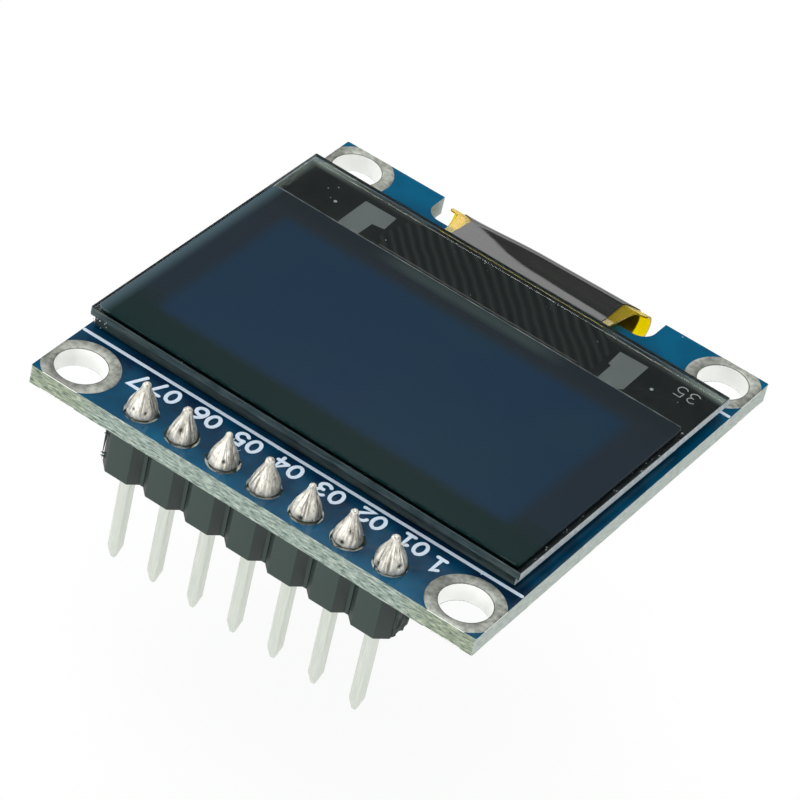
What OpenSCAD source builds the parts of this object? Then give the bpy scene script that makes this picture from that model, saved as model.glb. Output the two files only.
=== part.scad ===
// Small monochrome OLED display on its carrier board: taped-down glass panel,
// folded flex, seven-way pin header and the passives on the underside.
// Millimetres. X runs along the header row, +Y points to the flex, +Z out of the
// glass. Z = 0 is the underside of the board; X = Y = 0 is the middle of the
// four mounting holes.

/* [Board] */
// Width of the board along the header row
board_w = 27.2; // [22:0.1:34]
// Length of the board from header edge to flex edge
board_l = 27.5; // [22:0.1:34]
// Thickness of the laminate
board_t = 1.1; // [0.8:0.1:1.6]
// Outer corner radius of the board
board_corner_r = 0.1; // [0.05:0.05:0.6]
// Distance of the mounting holes from the side edges
hole_inset_x = 1.8; // [1.7:0.05:3]
// Distance of the mounting holes from the header and flex edges
hole_inset_y = 1.75; // [1.7:0.05:3]
// Finished diameter of a mounting hole
hole_d = 2.75; // [2:0.05:3]
// Diameter of the plated land round a mounting hole
land_d = 4.1; // [3.4:0.1:5]
// Wall of the plating in a mounting hole
plating_t = 0.06; // [0.04:0.01:0.1]
// Thickness of the plated lands, let in flush with the board
land_t = 0.05; // [0.03:0.01:0.1]
// Width of the flex notch
notch_w = 14.3; // [12:0.1:17]
// Depth of the flex notch
notch_depth = 1.97; // [1.2:0.01:2.6]
// Radius of the notch's inner corners
notch_r = 0.9; // [0.3:0.1:1]

/* [Header] */
// Pin pitch
pitch = 2.54; // [2:0.01:3.1]
// Distance of the pin row from the header edge of the board
header_inset = 1.27; // [1:0.01:2.5]
// Depth of the plastic housing, front to back
housing_w = 2.54; // [2:0.01:3]
// Height of the plastic housing
housing_h = 2.54; // [1.5:0.01:3.5]
// Chamfer of each housing cell
cell_chamfer = 0.59; // [0.3:0.01:0.75]
// Depth of the wash channel on the board side of the housing
channel_depth = 0.25; // [0.1:0.05:0.4]
// Width of the wash channel
channel_w = 1.3; // [1:0.1:1.5]
// Side of the square pins
pin_side = 0.64; // [0.5:0.01:0.8]
// Free length of a pin below the housing
pin_below = 6.08; // [4:0.01:12]
// Reach of a pin above the board
pin_above = 1.85; // [1.4:0.05:3]
// Length of the taper at a pin's free end
pin_taper = 0.6; // [0.3:0.05:1]
// Length of the taper at a pin's soldered end
pin_taper_top = 1.05; // [0.6:0.05:1.2]
// Side of a pin's tip
pin_tip = 0.28; // [0.2:0.01:0.45]
// Diameter of the plated pads round the pins
pad_d = 1.8; // [1.5:0.05:2.1]
// Diameter of a solder joint at the board
joint_d = 1.68; // [1.4:0.01:2.1]
// Bare length of a pin's tip above its solder joint
joint_bare = 0.05; // [0.03:0.01:0.3]

/* [Panel] */
// Width of the front glass
glass_w = 26.7; // [22:0.1:33]
// Length of the front glass
glass_l = 19.26; // [16:0.01:24]
// Thickness of the front glass
front_t = 0.55; // [0.3:0.05:0.8]
// Thickness of the cap glass
cap_t = 0.5; // [0.35:0.05:0.8]
// Thickness of the seal between the two glasses
seal_t = 0.05; // [0.03:0.01:0.1]
// Width of the seal's frame
seal_w = 1.1; // [0.6:0.1:1.5]
// Thickness of the polarizer
polarizer_t = 0.2; // [0.1:0.05:0.3]
// Inset of the polarizer from the glass at both sides
polarizer_side = 0.3; // [0.1:0.05:1]
// Inset of the polarizer from the header side of the glass
polarizer_front = 0.15; // [0.05:0.05:1]
// Bare ledge of the front glass on the flex side
ledge_l = 4.21; // [3:0.01:5]
// Inset of the cap glass from the front glass at both sides
cap_side = 0.24; // [0.1:0.01:1]
// Inset of the cap glass from the header side of the front glass
cap_front = 0.12; // [0.05:0.01:1]
// Thickness of the mounting tape under the cap glass
tape_t = 0.12; // [0.05:0.01:0.4]
// Inset of the mounting tape from the cap glass
tape_inset = 0.35; // [0.1:0.05:1.5]
// Distance from the pin row to the glass
panel_gap = 3.16; // [2.2:0.01:5]
// Sideways offset of the panel on the board
panel_x = -0.15; // [-0.5:0.05:0.5]
// Angle at which the panel is taped down
panel_skew = -0.7; // [-1.5:0.1:1.5]
// Thickness of the driver chip
chip_t = 0.3; // [0.2:0.05:0.35]
// Length of the driver chip
chip_w = 11; // [6:0.5:14]
// Depth of the driver chip
chip_l = 0.9; // [0.7:0.1:1.3]
// Thickness of the light-blocking tape behind the ledge
blackout_t = 0.06; // [0.04:0.01:0.1]

/* [Flex] */
// Thickness of the flex base film
flex_t = 0.1; // [0.07:0.01:0.15]
// Thickness of the dark cover film on the flex
cover_t = 0.05; // [0.03:0.01:0.08]
// Width of the flex at the glass
neck_w = 10.5; // [7:0.1:11]
// Width of the flex in the fold
fold_w = 12.6; // [11.5:0.1:13.5]
// Width of the flex tail on the underside
tail_w = 19.2; // [18.8:0.1:21]
// Sideways offset of the flex
flex_x = 0.1; // [-0.3:0.05:0.3]
// Length of flex bonded under the front glass
bond_l = 0.85; // [0.5:0.05:1.2]
// Distance from the outside of the fold to the board's flex edge
fold_inset = 0.17; // [0:0.01:0.6]
// Length of the tail on the underside, from the notch floor
tail_l = 6.6; // [5:0.1:8]
// Bare length of the tail at the contacts
bare_l = 2.0; // [1.5:0.1:3]
// Pitch of the contacts
contact_pitch = 0.62; // [0.5:0.01:0.62]
// Length of the soldered pad on the board beyond the tail's end
finger_pad = 0.65; // [0.4:0.05:0.9]
// Length of solder on the tail from its end
finger_l = 1.1; // [0.6:0.05:1.4]

/* [Underside parts] */
// Length of a chip capacitor or resistor
chip_part_l = 1.6; // [1.2:0.1:2]
// Width of a chip capacitor or resistor
chip_part_w = 0.8; // [0.5:0.1:1.2]
// Height of a chip capacitor
capacitor_h = 0.8; // [0.4:0.05:1]
// Height of a chip resistor
resistor_h = 0.45; // [0.3:0.05:0.6]
// Length of a metal end cap
end_cap_l = 0.35; // [0.2:0.05:0.5]
// Reach of the solder fillet at an end cap
fillet_l = 0.32; // [0.1:0.01:0.4]

/* [Hidden] */
$fn = 48;

// Named clearances
fit_gap = 0.01;        // plated barrels, pins and joints in their holes
pin_hole_gap = 0.05;   // pin diagonal to the plated pin hole
pad_gap = 0.1;         // mounting land to the nearest pin pad

// Derived places on the board
pin_count = 7;
header_y = -board_l / 2 + header_inset;
hole_x = board_w / 2 - hole_inset_x;
hole_to_row = hole_x - pin_x(1);
land_to_pad = (land_d + max(pad_d, joint_d)) / 2 + pad_gap;
hole_edge_y = board_l / 2 - hole_inset_y;
// Beside the pin row where there is room, and else far enough along the board to clear it
hole_y = hole_to_row >= land_to_pad
    ? hole_edge_y
    : min(hole_edge_y, -header_y - sqrt(pow(land_to_pad, 2) - pow(hole_to_row, 2)));
hole_at = [[hole_x, -hole_y], [hole_x, hole_y], [-hole_x, hole_y], [-hole_x, -hole_y]];
pin_diag = pin_side * sqrt(2);
pin_hole_d = pin_diag + 2 * pin_hole_gap;
joint_h = pin_above - joint_bare;
notch_floor_y = board_l / 2 - notch_depth;

// Heights of the panel's layers
cap_z = board_t + tape_t;
seal_z = cap_z + cap_t;
front_z = seal_z + seal_t;
polarizer_z = front_z + front_t;

// The panel's own frame: X to the right, Y from its middle to the flex
panel_y = header_y + panel_gap + glass_l / 2;
panel_back = panel_y + glass_l / 2;
ledge_y = glass_l / 2 - ledge_l;
cap_front_y = -glass_l / 2 + cap_front;
chip_y = ledge_y + 0.3 + chip_l / 2;

// The fold of the flex
fold_ro = (front_z + flex_t) / 2;
fold_ri = fold_ro - flex_t;
fold_z = fold_ro - flex_t;
fold_y = max(board_l / 2 - fold_inset - cover_t - fold_ro, panel_back + 0.9);
shoulder_top = 86;
shoulder_foot = 72;
tail_start_y = notch_floor_y - 0.5;
tail_end_y = notch_floor_y - tail_l;
contact_count = 30;

// Underside places: [x, y, turn]
regulator_at = [-8.4, -6.6, 0];
diode_at = [7.6, -6.8, 0];
capacitor_at = [
    [-8, 2.4, 90], [-5, 2.4, 90], [-2, 2.4, 90], [1, 2.4, 90],
    [4, 2.4, 90], [8, 2.4, 90], [-11.4, -6.6, 90], [-5.2, -6.6, 90]
];
resistor_at = [
    [-6, -1.8, 90], [-3.5, -1.8, 90], [-1, -1.8, 90],
    [1.5, -1.8, 90], [4, -1.8, 90], [6.5, -1.8, 90]
];

// ---------- shared shapes ----------

// A flat plate centred on X and Y with rounded corners
module rounded_plate(w, l, t, r) {
    linear_extrude(height = t) {
        square([w - 2 * r, l], center = true);
        square([w, l - 2 * r], center = true);
        for (sx = [-1, 1], sy = [-1, 1]) {
            translate([sx * (w / 2 - r), sy * (l / 2 - r)]) circle(r = r);
        }
    }
}

// A box from a low corner
module slab(x0, x1, y0, y1, z0, z1) {
    translate([x0, y0, z0]) cube([x1 - x0, y1 - y0, z1 - z0]);
}

// Extrudes a profile drawn in Y and Z along X, centred on X = 0
module along_x(w) {
    rotate([90, 0, 90]) linear_extrude(height = w, center = true) children();
}

// Extrudes a profile drawn in X and Z along Y, centred on Y = 0
module along_y(w) {
    rotate([90, 0, 0]) linear_extrude(height = w, center = true) children();
}

// Places children in the panel's frame
module on_panel() {
    translate([panel_x, panel_y, 0]) rotate([0, 0, panel_skew]) children();
}

// Places children on the underside, local +Z pointing away from the board
module on_underside(at) {
    translate([at[0], at[1], 0]) rotate([0, 0, at[2]]) mirror([0, 0, 1]) children();
}

// ---------- board ----------

module notch_cut() {
    out = 1;
    h = board_t + 2;
    w = notch_w;
    translate([0, notch_floor_y, -1]) {
        slab(-w / 2 + notch_r, w / 2 - notch_r, 0, notch_depth + out, 0, h);
        slab(-w / 2, w / 2, notch_r, notch_depth + out, 0, h);
        for (s = [-1, 1]) {
            translate([s * (w / 2 - notch_r), notch_r, 0]) cylinder(r = notch_r, h = h);
        }
    }
}

module circuit_board() {
    color("#0b3d73") difference() {
        rounded_plate(board_w, board_l, board_t, board_corner_r);
        notch_cut();
        for (p = hole_at) {
            translate([p[0], p[1], -1]) {
                cylinder(d = hole_d + 2 * plating_t + 2 * fit_gap, h = board_t + 2);
            }
            for (z = [-1, board_t - land_t]) {
                translate([p[0], p[1], z]) cylinder(d = land_d + 2 * fit_gap, h = 1 + land_t);
            }
        }
        for (i = [1:pin_count]) {
            translate([pin_x(i), header_y, -1]) {
                cylinder(d = pin_hole_d + 2 * plating_t + 2 * fit_gap, h = board_t + 2);
            }
            for (z = [-1, board_t - land_t]) {
                translate([pin_x(i), header_y, z]) cylinder(d = pad_d + 2 * fit_gap, h = 1 + land_t);
            }
        }
    }
}

// Lands on both faces joined by the plated barrel, cut off at the board's edge
module mounting_ring(i) {
    p = hole_at[i - 1];
    color("#b9bcae") difference() {
        union() {
            intersection() {
                union() {
                    for (z = [0, board_t - land_t]) {
                        translate([p[0], p[1], z]) cylinder(d = land_d, h = land_t);
                    }
                }
                rounded_plate(board_w, board_l, board_t, board_corner_r);
            }
            translate([p[0], p[1], 0]) cylinder(d = hole_d + 2 * plating_t, h = board_t);
        }
        translate([p[0], p[1], -1]) cylinder(d = hole_d, h = board_t + 2);
    }
}

// Plated pads of the pin row, one piece of copper through each hole
module header_pads() {
    color("#b9bcae") for (i = [1:pin_count]) {
        translate([pin_x(i), header_y, 0]) difference() {
            union() {
                cylinder(d = pin_hole_d + 2 * plating_t, h = board_t);
                for (z = [0, board_t - land_t]) {
                    translate([0, 0, z]) cylinder(d = pad_d, h = land_t);
                }
            }
            translate([0, 0, -1]) cylinder(d = pin_hole_d, h = board_t + 2);
        }
    }
}

// ---------- header ----------

// Pin 1 is at the +X end
function pin_x(i) = ((pin_count + 1) / 2 - i) * pitch;

// Outline of one breakaway cell
function cell(w, d, c) = [
    [-w / 2 + c, -d / 2], [w / 2 - c, -d / 2], [w / 2, -d / 2 + c], [w / 2, d / 2 - c],
    [w / 2 - c, d / 2], [-w / 2 + c, d / 2], [-w / 2, d / 2 - c], [-w / 2, -d / 2 + c]
];

module header_housing() {
    hole = pin_side + 2 * fit_gap;
    color("#23292a") difference() {
        translate([0, header_y, -housing_h]) {
            for (i = [1:pin_count]) {
                translate([pin_x(i), 0, 0]) {
                    linear_extrude(height = housing_h) polygon(cell(pitch, housing_w, cell_chamfer));
                }
            }
        }
        for (i = [1:pin_count]) {
            translate([pin_x(i), header_y, -housing_h / 2]) {
                cube([hole, hole, housing_h + 2], center = true);
            }
        }
        translate([0, header_y, 0]) {
            cube([pin_count * pitch + 2, channel_w, 2 * channel_depth], center = true);
        }
    }
}

// Square wire with both ends drawn to a blunt point, grown by d on every side
module pin_wire(i, d) {
    z0 = -housing_h - pin_below - d;
    z1 = board_t + pin_above + d;
    a = pin_side / 2 + d;
    b = pin_tip / 2 + d;
    side = [
        [-b, z0], [b, z0], [a, z0 + pin_taper], [a, z1 - pin_taper_top],
        [b, z1], [-b, z1], [-a, z1 - pin_taper_top], [-a, z0 + pin_taper]
    ];
    translate([pin_x(i), header_y, 0]) intersection() {
        along_x(3 * a) polygon(side);
        along_y(3 * a) polygon(side);
    }
}

module header_pin(i) {
    color("#d6d4c8") pin_wire(i, 0);
}

// Radius of a joint over its height: a full foot drawn in to the pin's tip
joint_tip_r = pin_tip * 0.85;
function joint_r(u) = joint_tip_r + (joint_d / 2 - joint_tip_r) * pow((1 + cos(180 * u)) / 2, 0.8);

module solder_joint(i) {
    steps = 12;
    foot = 0.14;
    curve = [for (k = [0:steps]) [
        joint_r(k / steps),
        board_t + foot + (joint_h - foot) * k / steps
    ]];
    barrel_r = pin_hole_d / 2 - fit_gap;
    color("#aaa89b") difference() {
        translate([pin_x(i), header_y, 0]) rotate_extrude($fn = 32) {
            polygon(concat(
                [[0, 0], [barrel_r, 0], [barrel_r, board_t], [joint_d / 2 - 0.06, board_t]],
                curve,
                [[0, board_t + joint_h]]
            ));
        }
        pin_wire(i, fit_gap);
    }
}

// ---------- panel ----------

module front_glass() {
    color("#9fb0b0", 0.5) on_panel() translate([0, 0, front_z]) {
        rounded_plate(glass_w, glass_l, front_t, 0.08);
    }
}

module polarizer() {
    w = glass_w - 2 * polarizer_side;
    y0 = -glass_l / 2 + polarizer_front;
    color("#1c2b48") on_panel() translate([0, (y0 + ledge_y) / 2, polarizer_z]) {
        rounded_plate(w, ledge_y - y0, polarizer_t, 0.25);
    }
}

// Outline of the cap glass, inset by d
module cap_outline(d, t) {
    w = glass_w - 2 * cap_side - 2 * d;
    y0 = cap_front_y + d;
    y1 = ledge_y - 0.1 - d;
    translate([0, (y0 + y1) / 2, 0]) rounded_plate(w, y1 - y0, t, 0.1);
}

module cap_glass() {
    color("#39474b") on_panel() translate([0, 0, cap_z]) cap_outline(0, cap_t);
}

module edge_seal() {
    color("#20262a") on_panel() difference() {
        translate([0, 0, seal_z]) cap_outline(0.1, seal_t);
        translate([0, 0, seal_z - 1]) cap_outline(0.1 + seal_w, 3);
    }
}

// Thin film stack on the inner face of the front glass
module emitter_layer() {
    film = seal_t * 0.6;
    color("#101827") on_panel() translate([0, 0, front_z - film]) {
        cap_outline(0.1 + seal_w + 0.05, film);
    }
}

module mounting_tape() {
    color("#16181a") on_panel() translate([0, 0, board_t]) cap_outline(tape_inset, tape_t);
}

module driver_chip() {
    color("#2a2d31") on_panel() {
        slab(-chip_w / 2, chip_w / 2, chip_y - chip_l / 2, chip_y + chip_l / 2, front_z - chip_t, front_z);
    }
}

module blackout_tape() {
    z1 = front_z - chip_t;
    y0 = ledge_y + 0.05;
    y1 = glass_l / 2 - 0.45;
    w = glass_w - 2 * cap_side - 0.3;
    color("#0e0f10") on_panel() translate([0, (y0 + y1) / 2, z1 - blackout_t]) {
        rounded_plate(w, y1 - y0, blackout_t, 0.3);
    }
}

// ---------- flex ----------

// Half of a round sheet about the fold's axis, open to the board
module fold(ri, ro, w) {
    translate([0, fold_y, fold_z]) intersection() {
        rotate([0, 90, 0]) difference() {
            cylinder(r = ro, h = w, center = true);
            cylinder(r = ri, h = w + 2, center = true);
        }
        slab(-w, w, 0, 2 * ro, -2 * ro, 2 * ro);
    }
}

// The fold's outline seen from behind: full width below, and elliptical
// shoulders that draw it in to the neck
module fold_outline() {
    z0 = fold_z + fold_ro * sin(shoulder_foot);
    rise = fold_ro * (sin(shoulder_top) - sin(shoulder_foot));
    draw_in = (fold_w - neck_w) / 2;
    arc = [for (k = [0:8]) [draw_in * cos(90 * k / 8), rise * sin(90 * k / 8)]];
    for (s = [-1, 1]) {
        polygon(concat(
            [[0, -1], [s * fold_w / 2, -1]],
            [for (p = arc) [s * (neck_w / 2 + p[0]), z0 + p[1]]],
            [[s * neck_w / 2, front_z + 1], [0, front_z + 1]]
        ));
    }
}

module flex_base() {
    y0 = panel_back - bond_l;
    color("#b9832c") translate([flex_x, 0, 0]) {
        slab(-neck_w / 2, neck_w / 2, y0, fold_y, front_z - flex_t, front_z);
        slab(-fold_w / 2, fold_w / 2, tail_start_y - 0.5, fold_y, -flex_t, 0);
        translate([0, (tail_start_y + tail_end_y) / 2, -flex_t]) {
            rounded_plate(tail_w, tail_start_y - tail_end_y, flex_t, 0.4);
        }
        intersection() {
            fold(fold_ri, fold_ro, fold_w);
            translate([0, fold_y, 0]) along_y(4 * fold_ro) fold_outline();
        }
    }
}

module flex_cover() {
    y0 = panel_back + 0.16;
    y1 = tail_end_y + bare_l;
    color("#4a4d4b") translate([flex_x, 0, 0]) {
        slab(-neck_w / 2, neck_w / 2, y0, fold_y, front_z, front_z + cover_t);
        slab(-neck_w / 2, neck_w / 2, tail_start_y - 1, fold_y, -flex_t - cover_t, -flex_t);
        translate([0, (tail_start_y - 0.2 + y1) / 2, -flex_t - cover_t]) {
            rounded_plate(tail_w - 0.5, tail_start_y - 0.2 - y1, cover_t, 0.4);
        }
        fold(fold_ro, fold_ro + cover_t, neck_w);
    }
}

// A soldered finger: on the board's pad, up the film's end and over its contact
module flex_solder() {
    w = contact_pitch * 0.56;
    t = flex_t;
    y = tail_end_y;
    y1 = y + finger_l;
    finger = [
        [y - finger_pad, 0], [y, 0], [y, -t], [y1, -t], [y1 - 0.05, -t - 0.04], [y1 - 0.3, -t - 0.08],
        [y + 0.2, -t - 0.11], [y - 0.1, -t - 0.09], [y - finger_pad + 0.25, -t * 0.8]
    ];
    color("#b4b4ac") for (k = [1:contact_count]) {
        x = flex_x + (k - (contact_count + 1) / 2) * contact_pitch;
        translate([x, 0, 0]) along_x(w) polygon(finger);
    }
}

// ---------- underside parts ----------

module regulator_body() {
    color("#1d1f20") on_underside(regulator_at) intersection() {
        along_x(2.9) polygon([
            [-0.65, 0.1], [0.65, 0.1], [0.68, 0.6], [0.55, 1.1], [-0.55, 1.1], [-0.68, 0.6]
        ]);
        along_y(2) polygon([
            [-1.4, 0.1], [1.4, 0.1], [1.45, 0.6], [1.32, 1.1], [-1.32, 1.1], [-1.45, 0.6]
        ]);
    }
}

// Gull-wing lead leaving the body at its mid height, toward +Y
module gull_lead(x, s) {
    y = 0.68;
    translate([x, 0, 0]) scale_y(s) along_x(0.4) polygon([
        [y, 0.53], [y + 0.18, 0.53], [y + 0.24, 0.47], [y + 0.3, 0.06], [y + 0.36, 0],
        [y + 0.62, 0], [y + 0.62, 0.14], [y + 0.42, 0.14], [y + 0.38, 0.62], [y + 0.3, 0.67], [y, 0.67]
    ]);
}

// Mirrors children to -Y when s is negative
module scale_y(s) {
    if (s < 0) {
        mirror([0, 1, 0]) children();
    } else {
        children();
    }
}

module regulator_leads() {
    color("#c4c4bc") on_underside(regulator_at) {
        gull_lead(0, 1);
        gull_lead(-0.95, -1);
        gull_lead(0.95, -1);
    }
}

module diode_body() {
    color("#1d1f20") on_underside(diode_at) intersection() {
        along_x(1.7) polygon([
            [-0.62, 0.03], [0.62, 0.03], [0.64, 0.45], [0.55, 0.9], [-0.55, 0.9], [-0.64, 0.45]
        ]);
        along_y(2) polygon([
            [-0.85, 0.03], [0.85, 0.03], [0.85, 0.45], [0.76, 0.9], [-0.76, 0.9], [-0.85, 0.45]
        ]);
    }
}

module diode_leads() {
    color("#c4c4bc") on_underside(diode_at) for (s = [-1, 1]) {
        slab(min(0.85 * s, 1.25 * s), max(0.85 * s, 1.25 * s), -0.15, 0.15, 0, 0.13);
    }
}

// Body of a two-ended chip part between its end caps
module chip_body(at, h) {
    l = chip_part_l - 2 * end_cap_l;
    on_underside(at) slab(-l / 2, l / 2, -chip_part_w / 2, chip_part_w / 2, 0.02, h);
}

// End caps with their solder fillets
module chip_ends(at, h) {
    e = chip_part_l / 2;
    c = end_cap_l;
    on_underside(at) for (s = [0, 180]) {
        rotate([0, 0, s]) along_y(chip_part_w) polygon([
            [e - c, 0], [e + fillet_l, 0], [e + 0.7 * fillet_l, 0.1 * h],
            [e + 0.25 * fillet_l, 0.35 * h], [e, 0.7 * h], [e, h], [e - c, h]
        ]);
    }
}

module capacitor(i) {
    color("#9a7b58") chip_body(capacitor_at[i - 1], capacitor_h);
}

module capacitor_ends() {
    color("#b9b9b1") for (p = capacitor_at) chip_ends(p, capacitor_h);
}

module resistor(i) {
    color("#26282a") chip_body(resistor_at[i - 1], resistor_h);
}

module resistor_ends() {
    color("#b9b9b1") for (p = resistor_at) chip_ends(p, resistor_h);
}

// ---------- nodes ----------

circuit_board();
mounting_ring(1);  // mounting_ring_1
mounting_ring(2);  // mounting_ring_2
mounting_ring(3);  // mounting_ring_3
mounting_ring(4);  // mounting_ring_4
header_pads();
header_housing();
header_pin(1);  // header_pin_1
header_pin(2);  // header_pin_2
header_pin(3);  // header_pin_3
header_pin(4);  // header_pin_4
header_pin(5);  // header_pin_5
header_pin(6);  // header_pin_6
header_pin(7);  // header_pin_7
solder_joint(1);  // solder_joint_1
solder_joint(2);  // solder_joint_2
solder_joint(3);  // solder_joint_3
solder_joint(4);  // solder_joint_4
solder_joint(5);  // solder_joint_5
solder_joint(6);  // solder_joint_6
solder_joint(7);  // solder_joint_7
front_glass();
polarizer();
emitter_layer();
edge_seal();
cap_glass();
mounting_tape();
driver_chip();
blackout_tape();
flex_base();
flex_cover();
flex_solder();
regulator_body();
regulator_leads();
diode_body();
diode_leads();
capacitor(1);  // capacitor_1
capacitor(2);  // capacitor_2
capacitor(3);  // capacitor_3
capacitor(4);  // capacitor_4
capacitor(5);  // capacitor_5
capacitor(6);  // capacitor_6
capacitor(7);  // capacitor_7
capacitor(8);  // capacitor_8
capacitor_ends();
resistor(1);  // resistor_1
resistor(2);  // resistor_2
resistor(3);  // resistor_3
resistor(4);  // resistor_4
resistor(5);  // resistor_5
resistor(6);  // resistor_6
resistor_ends();
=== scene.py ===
"""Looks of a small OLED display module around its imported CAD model.

Solder, print, copper, glass, films, flex and the studio. Sizes in the sidebar are
in metres; the shape functions work in millimetres and make_piece turns them.
"""
import math

import bpy
import numpy as np
from mathutils import Matrix, Vector


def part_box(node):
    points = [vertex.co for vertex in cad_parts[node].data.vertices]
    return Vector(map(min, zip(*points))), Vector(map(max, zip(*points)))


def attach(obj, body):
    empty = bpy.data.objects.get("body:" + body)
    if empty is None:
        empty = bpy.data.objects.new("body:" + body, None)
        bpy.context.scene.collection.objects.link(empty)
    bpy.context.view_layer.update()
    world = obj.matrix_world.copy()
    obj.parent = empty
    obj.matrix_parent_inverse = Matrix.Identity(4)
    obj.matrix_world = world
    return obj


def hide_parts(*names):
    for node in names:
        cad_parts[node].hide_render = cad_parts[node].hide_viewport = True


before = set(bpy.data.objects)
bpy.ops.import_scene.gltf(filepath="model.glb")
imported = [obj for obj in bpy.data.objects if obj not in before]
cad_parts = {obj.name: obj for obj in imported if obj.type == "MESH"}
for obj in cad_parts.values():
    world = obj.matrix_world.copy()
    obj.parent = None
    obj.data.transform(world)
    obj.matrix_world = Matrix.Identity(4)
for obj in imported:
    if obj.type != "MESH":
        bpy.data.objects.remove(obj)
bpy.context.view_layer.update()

bl_info = {
    "name": "Small OLED module",
    "version": (1, 0, 0),
    "blender": (4, 5, 0),
    "location": "View3D > Sidebar > Display module",
    "description": "Makes the finish of a small OLED display module around its CAD frame",
    "category": "Object",
}

MM = 0.001


# ---------- places taken from the frame ----------


def span(node):
    """Lowest and highest corner of a CAD node, in millimetres."""
    low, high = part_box(node)
    return np.array(low) / MM, np.array(high) / MM


def middle(node):
    """Centre of a CAD node's box, in millimetres."""
    low, high = span(node)
    return (low + high) / 2


PIN_COUNT = 7
RING_COUNT = 4
BOARD_LOW, BOARD_HIGH = span("circuit_board")
TOP = BOARD_HIGH[2]
UNDER = BOARD_LOW[2]
PIN_TIP, PIN_END = span("header_pin_1")
PIN_X = [middle(f"header_pin_{i}")[0] for i in range(1, PIN_COUNT + 1)]
PIN_SIDE = PIN_END[0] - PIN_TIP[0]
ROW_Y = middle("header_pin_1")[1]
HOLE_R = 1.375
LAND_R = 2.05
GLASS_LOW, GLASS_HIGH = span("front_glass")
PANEL_AT = (GLASS_LOW + GLASS_HIGH) / 2
FLEX_LOW, FLEX_HIGH = span("flex_base")
PANEL_LENGTH = GLASS_HIGH[1] - GLASS_LOW[1]
CAP_LOW = span("cap_glass")[0]


# ---------- settings ----------


def linear(hex_colour):
    """An sRGB hex value as linear red, green, blue and full alpha."""
    parts = [int(hex_colour[i:i + 2], 16) / 255 for i in (1, 3, 5)]
    return [p / 12.92 if p <= 0.04045 else ((p + 0.055) / 1.055) ** 2.4 for p in parts] + [1.0]


def length_property(name, description, millimetres):
    """A length in metres, given in millimetres."""
    return bpy.props.FloatProperty(
        name=name, description=description, default=millimetres * MM, min=0.0, unit="LENGTH", precision=5
    )


def colour_property(name, description, hex_colour):
    """A colour stored linear, given as sRGB hex."""
    return bpy.props.FloatVectorProperty(
        name=name, description=description, default=linear(hex_colour)[:3], size=3, min=0.0, max=1.0,
        subtype="COLOR",
    )


class OLED_PG_board(bpy.types.PropertyGroup):
    mask: colour_property("Solder mask", "Colour of the solder mask over bare laminate", "#062038")
    mask_over_copper: colour_property(
        "Mask over copper", "Colour of the solder mask over copper", "#00597c"
    )
    silk: colour_property("Print", "Colour of the printed marks", "#d3e2f2")
    line_width: length_property("Line width", "Width of a printed line", 0.2)
    digit_height: length_property("Digit height", "Height of the numbers at the pin row", 0.95)
    line_inset: length_property("Line inset", "Printed line to the header edge of the board", 4.17)
    track_width: length_property("Track width", "Width of a copper track", 0.25)


class OLED_PG_solder(bpy.types.PropertyGroup):
    foot_radius: length_property("Foot radius", "Radius of a joint at the board", 0.8)
    groove_depth: length_property(
        "Groove depth", "Depth of the shrinkage grooves down a joint", 0.09
    )
    seed: bpy.props.IntProperty(
        name="Seed", description="Picks the set of joints", default=11, min=0
    )


class OLED_PG_panel(bpy.types.PropertyGroup):
    turn: bpy.props.FloatProperty(
        name="Turn", description="Angle at which the panel is taped down", default=math.radians(
            -0.7
        ),
        subtype="ANGLE",
    )
    active_width: length_property("Active width", "Width of the lit area", 21.74)
    active_length: length_property("Active length", "Length of the lit area", 10.86)
    active_y: bpy.props.FloatProperty(
        name="Active offset", description="Middle of the lit area from the middle of the glass",
        default=-1.87 * MM, unit="LENGTH", precision=5,
    )
    active: colour_property("Lit area", "Colour of the unlit picture area", "#182d46")
    border: colour_property("Border", "Colour of the film outside the picture area", "#20282c")
    edge_chamfer: length_property("Edge chamfer", "Chamfer on the edges of the glass", 0.03)


class OLED_PG_header(bpy.types.PropertyGroup):
    nylon: colour_property("Nylon", "Colour of the moulded housing", "#1b302a")
    edge_radius: length_property("Edge radius", "Rounding of the moulded edges", 0.04)
    burr: length_property("Burr", "Reach of the sliver at the snapped end", 0.3)


class OLED_PG_flex(bpy.types.PropertyGroup):
    amber: colour_property("Film", "Colour of the bare polyimide", "#ffd400")
    cover: colour_property("Cover", "Colour of the cover film", "#232523")


class OLED_PG_studio(bpy.types.PropertyGroup):
    lens: bpy.props.FloatProperty(
        name="Lens", description="Focal length on a 36 mm sensor", default=198.8, min=20.0
    )
    floor_gap: length_property("Floor gap", "Pin tips to the floor", 9.0)
    white: colour_property("Surroundings", "Colour of the floor and the surroundings", "#fefffe")


SETTINGS = {
    "oled_board": OLED_PG_board,
    "oled_solder": OLED_PG_solder,
    "oled_panel": OLED_PG_panel,
    "oled_header": OLED_PG_header,
    "oled_flex": OLED_PG_flex,
    "oled_studio": OLED_PG_studio,
}


# ---------- shapes, in millimetres ----------


def arc(centre, radii, start, stop, steps=12):
    """Points of an ellipse: centre plus the radii times cosine and sine of evenly spaced degrees."""
    turn = np.radians(np.linspace(start, stop, steps))
    return np.column_stack(
        [centre[0] + radii[0] * np.cos(turn), centre[1] + radii[1] * np.sin(turn)]
    )


def rounded_outline(width, length, radius, steps=9):
    """A rectangle about the origin whose corners are quarter circles, anticlockwise."""
    corners = []
    for start, sx, sy in ((0, 1, 1), (90, -1, 1), (180, -1, -1), (270, 1, -1)):
        centre = (sx * (width / 2 - radius), sy * (length / 2 - radius))
        corners.append(arc(centre, (radius, radius), start, start + 90, steps))
    return np.vstack(corners)


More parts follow.
